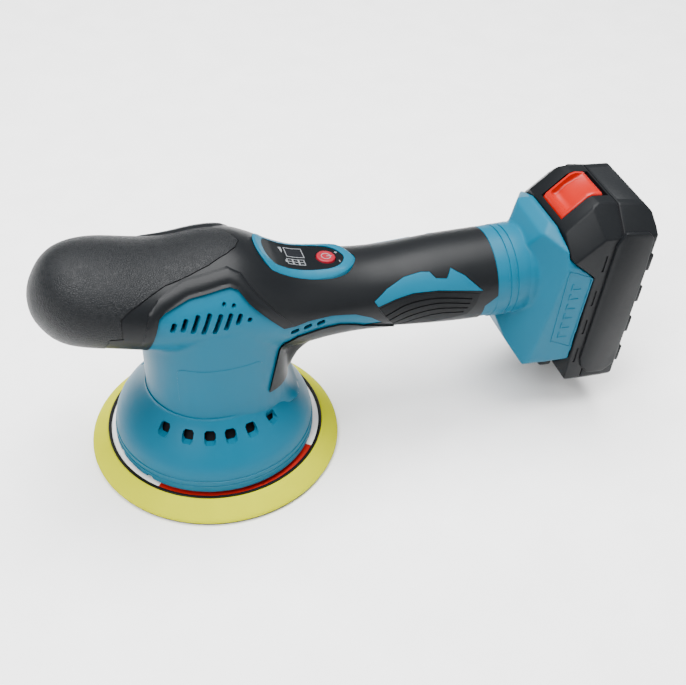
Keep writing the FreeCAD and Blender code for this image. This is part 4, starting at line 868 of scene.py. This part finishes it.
def bezel_ring(name, outer, middle, inner):
    """The bezel: a ring round the film whose outer part falls away with the handle's side."""
    bm = bmesh.new()
    rings = []
    for points, level in ((inner, -4.0), (inner, 0.75), (middle, 0.95), (outer, 0.3),
                          (outer, -7.0)):
        verts = [bm.verts.new(Vector((a, b, level)) * MM) for a, b in points]
        rings.append([bm.edges.new(pair) for pair in zip(verts, verts[1:] + verts[:1])])
    for first, second in zip(rings, rings[1:] + rings[:1]):
        bmesh.ops.bridge_loops(bm, edges=first + second)
    laid(bm)
    for vert in bm.verts:
        across = max(0.0, abs(vert.co.y) / MM - 9.0)
        rear = max(0.0, vert.co.x / MM - 76.0)
        vert.co.z -= (BEZEL_FALL * across * across + 0.02 * rear * rear) * MM
    return link(name, bm)


def panel_piece(name, plan, low, high):
    """A piece of the panel: a plan outline between two levels over the panel line."""
    bm = bmesh.new()
    add_prism(bm, plan, "XY", low, high)
    laid(bm)
    return link(name, bm)


def rectangle(low_x, low_y, high_x, high_y):
    """Four corners."""
    return ((low_x, low_y), (high_x, low_y), (high_x, high_y), (low_x, high_y))


def circle(along, radius, steps=48):
    """A round outline on the tool's middle line."""
    return [(along + radius * math.cos(math.tau * step / steps),
             radius * math.sin(math.tau * step / steps)) for step in range(steps)]


def frame_pieces(low_x, low_y, high_x, high_y, line):
    """A thin printed frame as four strips."""
    bm = bmesh.new()
    for corners in (rectangle(low_x, low_y, high_x, low_y + line),
                    rectangle(low_x, high_y - line, high_x, high_y),
                    rectangle(low_x, low_y + line, low_x + line, high_y - line),
                    rectangle(high_x - line, low_y + line, high_x, high_y - line)):
        add_prism(bm, corners, "XY", 0.0, 0.14)
    return bm


class POLISHER_OT_panel(bpy.types.Operator):
    """Fit the control panel: bezel, film with the push button's hole, display and generic marks"""
    bl_idname = "polisher.panel"
    bl_label = "Control panel"

    def execute(self, context):
        outer = rounded(BEZEL_PLAN, 5)
        inner = rounded(FILM_PLAN, 5)
        bezel = bezel_ring("panel_bezel_ring", outer, grown(outer, -1.3), inner)
        bevelled(bezel, 0.5, 3, 40.0)
        finish(smooth(bezel, 50.0), FINISH["shell"], "tool", "teal_plastic", "panel_bezel")
        film = panel_piece("panel_film_sheet", grown(inner, 0.3), -2.0, 0.0)
        carve(film, prism("button_hole", circle(BUTTON_PLACE[0], BUTTON_HOLE), "XY", 100.0, 150.0))
        finish(smooth(film), FINISH["film"], "tool", "film", "panel_film")
        glass = panel_piece("display_glass", rectangle(46.2, 0.2, 55.6, 8.0), 0.0, 0.1)
        finish(smooth(glass), FINISH["glass"], "tool", "display")
        marks = frame_pieces(45.7, -0.3, 56.1, 8.5, 0.45)
        for count in range(3):
            low = 44.9 + 3.4 * count
            for corners in (rectangle(low, -7.4, low + 0.4, -2.2),
                            rectangle(low + 3.0, -7.4, low + 3.4, -2.2),
                            rectangle(low + 0.4, -2.6, low + 3.0, -2.2),
                            rectangle(low + 0.4, -7.4, low + 3.0, -7.0),
                            rectangle(low + 0.4, -5.0, low + 3.0, -4.6)):
                add_prism(marks, corners, "XY", 0.0, 0.14)
        add_prism(marks, rectangle(44.0, -5.8, 44.9, -3.8), "XY", 0.0, 0.14)
        add_prism(marks, ((42.6, 7.6), (43.6, 2.6), (44.4, 4.6), (44.4, 8.4)), "XY", 0.0, 0.14)
        for side in (-4.2, 4.2):
            add_prism(marks, rectangle(75.2, side - 0.9, 75.7, side + 0.9), "XY", 0.0, 0.14)
        add_prism(marks, rectangle(74.6, 3.95, 75.2, 4.45), "XY", 0.0, 0.14)
        add_prism(marks, rectangle(75.7, 3.95, 76.3, 4.45), "XY", 0.0, 0.14)
        laid(marks)
        finish(link("panel_marks", marks), FINISH["mark"], "tool", "film")
        return {"FINISHED"}


class POLISHER_OT_button(bpy.types.Operator):
    """Turn the push button, with its pale rim and power mark"""
    bl_idname = "polisher.button"
    bl_label = "Push button"

    def execute(self, context):
        place = Vector((BUTTON_PLACE[0], 0.0, BUTTON_PLACE[1])) * MM
        lean = Matrix.Rotation(math.radians(BUTTON_LEAN), 4, "Y")
        stand = Matrix.Translation(place) @ lean
        cap = turned("button_cap", ((0.0, -3.0), (5.4, -3.0), (5.5, 0.5), (5.1, 1.0), (4.4, 1.15),
                                    (3.4, 0.95), (0.0, 0.8)), 64, closed=False)
        cap.data.transform(stand)
        finish(smooth(cap, 50.0), FINISH["button"], "button", "button_orange", "power_button")
        bm = bmesh.new()
        arc = [bm.verts.new((radius * MM, 0, level * MM))
               for radius, level in ((2.3, 0.7), (2.8, 0.7), (2.8, 0.98), (2.3, 0.98))]
        edges = [bm.edges.new(pair) for pair in zip(arc, arc[1:] + arc[:1])]
        bmesh.ops.spin(bm, geom=arc + edges, cent=(0, 0, 0), axis=(0, 0, 1), angle=math.tau,
                       steps=48, use_merge=True)
        add_prism(bm, rectangle(0.4, -0.25, 3.4, 0.25), "XY", 0.70, 1.02)
        marks = link("button_marks", bm)
        marks.data.transform(stand)
        finish(smooth(marks), FINISH["mark"], "button", "film")
        return {"FINISHED"}


# ---------------------------------------------------------------- bell and pad
def add_round(bm, outline, inner, outer, angles):
    """Radial blocks of one outline at several angles about the motor axis."""
    for angle in angles:
        before = set(bm.verts)
        add_prism(bm, outline, "YZ", inner, outer)
        new = [vert for vert in bm.verts if vert not in before]
        bmesh.ops.rotate(bm, verts=new, cent=(0, 0, 0),
                         matrix=Matrix.Rotation(math.radians(angle), 3, "Z"))


class POLISHER_OT_bell(bpy.types.Operator):
    """Turn the bell shroud and cut its vents and lip notches"""
    bl_idname = "polisher.bell"
    bl_label = "Bell shroud"

    def execute(self, context):
        bell = turned("bell_body", BELL, 160)
        bm = bmesh.new()
        add_round(bm, VENT, 26.0, 60.0, VENT_ANGLES + tuple(-angle for angle in VENT_ANGLES))
        add_round(bm, NOTCH, 52.0, 64.0, NOTCH_ANGLES)
        carve(bell, link("vent_cutters", bm))
        finish(smooth(bell, 40.0), FINISH["shell"], "tool", "teal_plastic", "bell_shroud")
        # A near-black band behind the vents: painted shade inside them.
        shade_band = turned("vent_shade_band", VENT_SHADE_BAND, 128)
        finish(smooth(shade_band, 40.0), FINISH["dark"], "tool", "dark_plastic")
        return {"FINISHED"}


class POLISHER_OT_pad(bpy.types.Operator):
    """Turn the pad: foam ring and hook face"""
    bl_idname = "polisher.pad"
    bl_label = "Pad"

    def execute(self, context):
        foam = turned("foam_ring", (
            (0.0, 1.2), (74.2, 1.2), (75.0, 1.7), (75.4, 2.6), (75.2, 3.6), (74.2, 4.8),
            (66.6, 11.9), (65.9, 12.3), (65.2, 12.2), (65.2, 6.0), (0.0, 6.0)),
            160, PAD_AXIS, closed=False)
        finish(smooth(foam, 40.0), FINISH["foam"], "pad", "foam", "foam_disc")
        hook = turned("hook_face", ((0.0, 0.0), (73.8, 0.0), (74.4, 0.4), (74.4, 1.2), (0.0, 1.2)),
                      128, PAD_AXIS, closed=False)
        finish(smooth(hook), FINISH["hook"], "pad", "hook", "hook_disc")
        return {"FINISHED"}


# ---------------------------------------------------------------- foot
def docked(piece):
    """Lean a piece drawn in the dock frame into its place."""
    piece.data.transform(DOCK_FRAME)
    return piece


def chamfered(name, side, cuts, half):
    """A block from its side outline, with planes cut off: each plane is (point, outward)."""
    bm = bmesh.new()
    add_prism(bm, side, "XZ", -half, half)
    bmesh.ops.recalc_face_normals(bm, faces=bm.faces)
    for point, outward in cuts:
        for mirror in (-1, 1):
            place = Vector((point[0], point[1] * mirror, point[2])) * MM
            normal = Vector((outward[0], outward[1] * mirror, outward[2])).normalized()
            made = bmesh.ops.bisect_plane(
                bm, geom=bm.verts[:] + bm.edges[:] + bm.faces[:], dist=1e-7,
                plane_co=place, plane_no=normal, clear_outer=True)
            rim = [item for item in made["geom_cut"] if isinstance(item, bmesh.types.BMEdge)]
            bmesh.ops.holes_fill(bm, edges=rim, sides=0)
    return link(name, bm)


class POLISHER_OT_foot(bpy.types.Operator):
    """Blend the foot with the handle's end and add its framed ribs and collar rings"""
    bl_idname = "polisher.foot"
    bl_label = "Foot"

    def execute(self, context):
        block = chamfered("foot_block", FOOT_SIDE, FOOT_CUTS, 36.5)
        bevelled(block, 2.5, 3, 20.0)
        docked(block)
        bm = bmesh.new()
        loops = [ring(bm, 180.0, 26.9, 94.5, 26.6), ring(bm, 189.0, 27.6, 94.2, 27.2),
                 ring(bm, 194.0, 26.4, 94.0, 26.2), ring(bm, 198.0, 22.0, 93.5, 23.0)]
        cone = bridged("foot_cone", bm, loops)
        foot = blended(joined("foot_body", [block, cone]), 1.1 * MM, 5)
        finish(smooth(foot, 40.0), FINISH["shell"], "tool", "teal_plastic")
        collar = bmesh.new()
        profile = ((165.6, 26.2), (166.0, 27.2), (172.8, 27.3), (173.3, 26.3), (173.8, 26.3),
                   (174.2, 27.4), (177.4, 27.4), (177.9, 26.4), (178.4, 26.4), (178.8, 27.3),
                   (186.0, 27.4), (190.0, 26.0))
        verts = [collar.verts.new((along * MM, 0, radius * MM)) for along, radius in profile]
        edges = [collar.edges.new(pair) for pair in zip(verts, verts[1:])]
        bmesh.ops.spin(collar, geom=verts + edges, cent=(0, 0, 0), axis=(1, 0, 0),
                       angle=math.tau, steps=96, use_merge=True)
        bmesh.ops.translate(collar, verts=collar.verts, vec=(0, 0, 94.5 * MM))
        ringed = link("collar_rings", collar)
        finish(smooth(ringed, 50.0), FINISH["shell"], "tool", "teal_plastic")
        bm = bmesh.new()
        for side in (-1, 1):
            low, high = sorted((side * 36.0, side * 36.85))
            for start, end in zip(FOOT_FRAME, FOOT_FRAME[1:] + FOOT_FRAME[:1]):
                add_prism(bm, strip((start, end), 0.4), "XZ", low, high)
            for count in range(6):
                level = -12.0 + 7.2 * count
                add_prism(bm, ((-12.6, level), (-6.4, level), (-6.4, level + 0.8),
                               (-11.8, level + 0.8), (-11.8, level + 4.6), (-12.6, level + 4.6)),
                          "XZ", low, high)
        stop = bevelled(prism("dock_stop", rectangle(-9.4, -48.4, -0.4, -36.0), "XZ", -22.0, 22.0),
                        2.0, 3, 30.0)
        finish(smooth(docked(stop)), FINISH["pack"], "tool", "dark_plastic")
        ribs = docked(link("foot_ribs", bm))
        finish(ribs, FINISH["shell"], "tool", "teal_plastic")
        return {"FINISHED"}


# ---------------------------------------------------------------- pack

class POLISHER_OT_pack(bpy.types.Operator):
    """Build the battery pack: front and rear cases, a dark block as painted shade in the seam
    between them, side tabs, steps and top plate
    """
    bl_idname = "polisher.pack"
    bl_label = "Battery pack"

    def execute(self, context):
        edge = context.scene.polisher_sizes.edge_round / MM
        front = chamfered("pack_front", PACK_SIDE, PACK_CUTS, 37.5)
        rear = copied(front, "pack_rear")
        behind = prism("behind", rectangle(CASE_SPLIT - 0.25, -80.0, 60.0, 100.0))
        ahead = prism("ahead", rectangle(-60.0, -80.0, CASE_SPLIT + 0.25, 100.0))
        carve(front, behind)
        carve(rear, ahead)
        latch_hole = prism("latch_hole", rectangle(-16.6, 52.0, 10.2, 92.0), "XZ", -13.2, 13.2)
        bevelled(front, edge * 1.5, 4, 25.0)
        carve(front, latch_hole)
        bevelled(rear, edge * 0.8, 3, 25.0)
        # A near-black block just inside the cases: painted shade seen through the seam.
        seam = chamfered("pack_seam_shade", grown(PACK_SIDE, -0.9), tuple(
            ((point[0], point[1] - 0.9, point[2]), outward) for point, outward in PACK_CUTS), 36.6)
        carve(seam, prism("seam_hole", rectangle(-16.9, 52.0, 10.4, 92.0), "XZ", -13.5, 13.5))
        bm = bmesh.new()
        for level in (42.0, 17.0, -5.0, -27.5):
            add_prism(bm, rectangle(3.2, level - 5.6, 4.6, level + 5.6), "XZ", -60.0, -36.9)
            add_prism(bm, rectangle(3.2, level - 5.6, 4.6, level + 5.6), "XZ", 36.9, 60.0)
        carve(front, link("side_slots", bm))
        finish(smooth(docked(front), 30.0), FINISH["pack"], "battery", "dark_plastic",
               "battery_front_case")
        finish(smooth(docked(rear), 30.0), FINISH["pack"], "battery", "dark_plastic",
               "battery_rear_case")
        finish(smooth(docked(seam), 30.0), FINISH["dark"], "battery", "dark_plastic")
        bm = bmesh.new()
        for side in (-1, 1):
            low, high = sorted((side * 36.0, side * 39.2))
            add_prism(bm, PLATEAU, "XZ", low, high)
        plateau = docked(bevelled(link("pack_plateau", bm), 1.5, 2, 30.0))
        finish(smooth(plateau, 30.0), FINISH["pack"], "battery", "dark_plastic")
        bm = bmesh.new()
        for count in range(4):
            level = -36.0 + 23.3 * count
            add_prism(bm, rectangle(32.6, level, 35.7, level + 11.6), "XZ", -38.0, 38.0)
        steps = docked(bevelled(link("pack_steps", bm), 0.7, 2, 30.0))
        finish(smooth(steps, 30.0), FINISH["pack"], "battery", "dark_plastic")
        bm = bmesh.new()
        add_prism(bm, ((13.4, -17.4), (28.4, -18.8), (28.4, 18.8), (13.4, 17.4)), "XY", 0.0, 0.9)
        for vert in bm.verts:
            vert.co.z += (TOP_LINE - 1.35 - (vert.co.x / MM - 7.2) * 0.067) * MM
        plate = docked(bevelled(link("pack_plate", bm), 0.35, 2, 30.0))
        finish(smooth(plate, 30.0), FINISH["plate"], "battery", "film", "pack_top_plate")
        return {"FINISHED"}


class POLISHER_OT_latch(bpy.types.Operator):
    """Shape the scooped latch button"""
    bl_idname = "polisher.latch"
    bl_label = "Latch button"

    def execute(self, context):
        outline = ((-15.6, 55.0), (-16.0, 58.8), (-14.8, 61.2), (-2.6, 73.4), (0.6, 74.4),
                   (7.0, 73.9), (7.0, 55.0))
        latch = bevelled(prism("latch_scooped", outline, "XZ", -12.6, 12.6), 1.2, 3, 25.0)
        bm = bmesh.new()
        add_prism(bm, ((-13.6, 62.6), (-11.2, 60.8), (-8.2, 62.2), (-5.0, 66.8), (6.0, 74.0),
                       (6.0, 84.0), (-34.0, 84.0), (-34.0, 66.0)), "XZ", -10.2, 10.2)
        scoop = bevelled(link("scoop", bm), 2.6, 4, 25.0)
        carve(latch, scoop)
        finish(smooth(docked(latch), 40.0), FINISH["latch"], "latch", "button_orange",
               "latch_button")
        return {"FINISHED"}


# ---------------------------------------------------------------- inner pieces and stage
class POLISHER_OT_inner(bpy.types.Operator):
    """Give every remaining node of the frame the finish of its slot"""
    bl_idname = "polisher.inner"
    bl_label = "Inner pieces"

    def execute(self, context):
        slots = {entry["node"]: entry["material_slot"] for entry in frame["record"]["subparts"]}
        for name, node in frame["nodes"].items():
            node.data.materials.clear()
            node.data.materials.append(FINISH[SLOT_FINISH[slots[name]]])
        return {"FINISHED"}


CAMERA_PLACE = Vector((-73.69, -451.87, 476.84)) * MM
CAMERA_RIGHT = Vector((0.95415, -0.29775, 0.03057))
CAMERA_UP = Vector((0.17477, 0.63713, 0.75068))
CAMERA_BACK = Vector((-0.24299, -0.71092, 0.65996))
SENSOR = 36.0
LENS = 1.5306 * SENSOR
WORLD_LIGHT = 0.38
# Area lights: name, place in metres, size in metres, power in watts.
LIGHTS = (("key", (-0.9, -0.7, 1.5), 0.8, 34.0), ("fill", (1.2, -0.9, 0.9), 1.2, 5.0),
          ("top", (0.1, 0.2, 1.7), 1.6, 120.0))
LIT = Vector((0.06, 0.0, 0.08))


class POLISHER_OT_stage(bpy.types.Operator):
    """Set the floor, the soft lights and the camera"""
    bl_idname = "polisher.stage"
    bl_label = "Stage"

    def execute(self, context):
        scene = context.scene
        bm = bmesh.new()
        bmesh.ops.create_grid(bm, x_segments=1, y_segments=1, size=6.0)
        floor = link("floor", bm)
        floor.data.materials.append(FINISH["floor"])
        world = bpy.data.worlds.new("studio")
        world.use_nodes = True
        world.node_tree.nodes["Background"].inputs["Color"].default_value = (1, 1, 1, 1)
        world.node_tree.nodes["Background"].inputs["Strength"].default_value = WORLD_LIGHT
        scene.world = world
        for name, place, size, power in LIGHTS:
            light = bpy.data.lights.new(name, "AREA")
            light.size = size
            light.energy = power
            lamp = bpy.data.objects.new(name, light)
            lamp.location = place
            lamp.rotation_euler = (LIT - Vector(place)).to_track_quat("-Z", "Y").to_euler()
            scene.collection.objects.link(lamp)
        camera = bpy.data.objects.new("camera", bpy.data.cameras.new("camera"))
        turn = Matrix((CAMERA_RIGHT, CAMERA_UP, CAMERA_BACK)).transposed().to_4x4()
        camera.matrix_world = Matrix.Translation(CAMERA_PLACE) @ turn
        camera.data.lens = LENS
        camera.data.sensor_width = SENSOR
        camera.data.clip_start = 0.01
        scene.collection.objects.link(camera)
        scene.camera = camera
        return {"FINISHED"}


STEPS = (POLISHER_OT_skin, POLISHER_OT_shell, POLISHER_OT_plate, POLISHER_OT_rubber,
         POLISHER_OT_inlays, POLISHER_OT_panel, POLISHER_OT_button, POLISHER_OT_bell,
         POLISHER_OT_pad, POLISHER_OT_foot, POLISHER_OT_pack, POLISHER_OT_latch,
         POLISHER_OT_inner, POLISHER_OT_stage)


class POLISHER_PT_panel(bpy.types.Panel):
    """The polisher's sizes, colours and build steps"""
    bl_idname = "POLISHER_PT_panel"
    bl_label = "Polisher"
    bl_space_type = "VIEW_3D"
    bl_region_type = "UI"
    bl_category = "Polisher"

    def draw(self, context):
        layout = self.layout
        for group in (context.scene.polisher_sizes, context.scene.polisher_colours):
            for name in group.__annotations__:
                layout.prop(group, name)
        for step in STEPS:
            layout.operator(step.bl_idname)


CLASSES = (PolisherColours, PolisherSizes) + STEPS + (POLISHER_PT_panel,)


def register():
    for kind in CLASSES:
        bpy.utils.register_class(kind)
    bpy.types.Scene.polisher_colours = bpy.props.PointerProperty(type=PolisherColours)
    bpy.types.Scene.polisher_sizes = bpy.props.PointerProperty(type=PolisherSizes)


def unregister():
    del bpy.types.Scene.polisher_sizes
    del bpy.types.Scene.polisher_colours
    for kind in reversed(CLASSES):
        bpy.utils.unregister_class(kind)


def main():
    register()
    FINISH.update(make_materials(bpy.context.scene.polisher_colours))
    for step in STEPS:
        group, name = step.bl_idname.split(".")
        getattr(getattr(bpy.ops, group), name)()
        if step is POLISHER_OT_inlays:
            discard(SHOP.pop("skin"))


if __name__ == "__main__":
    main()
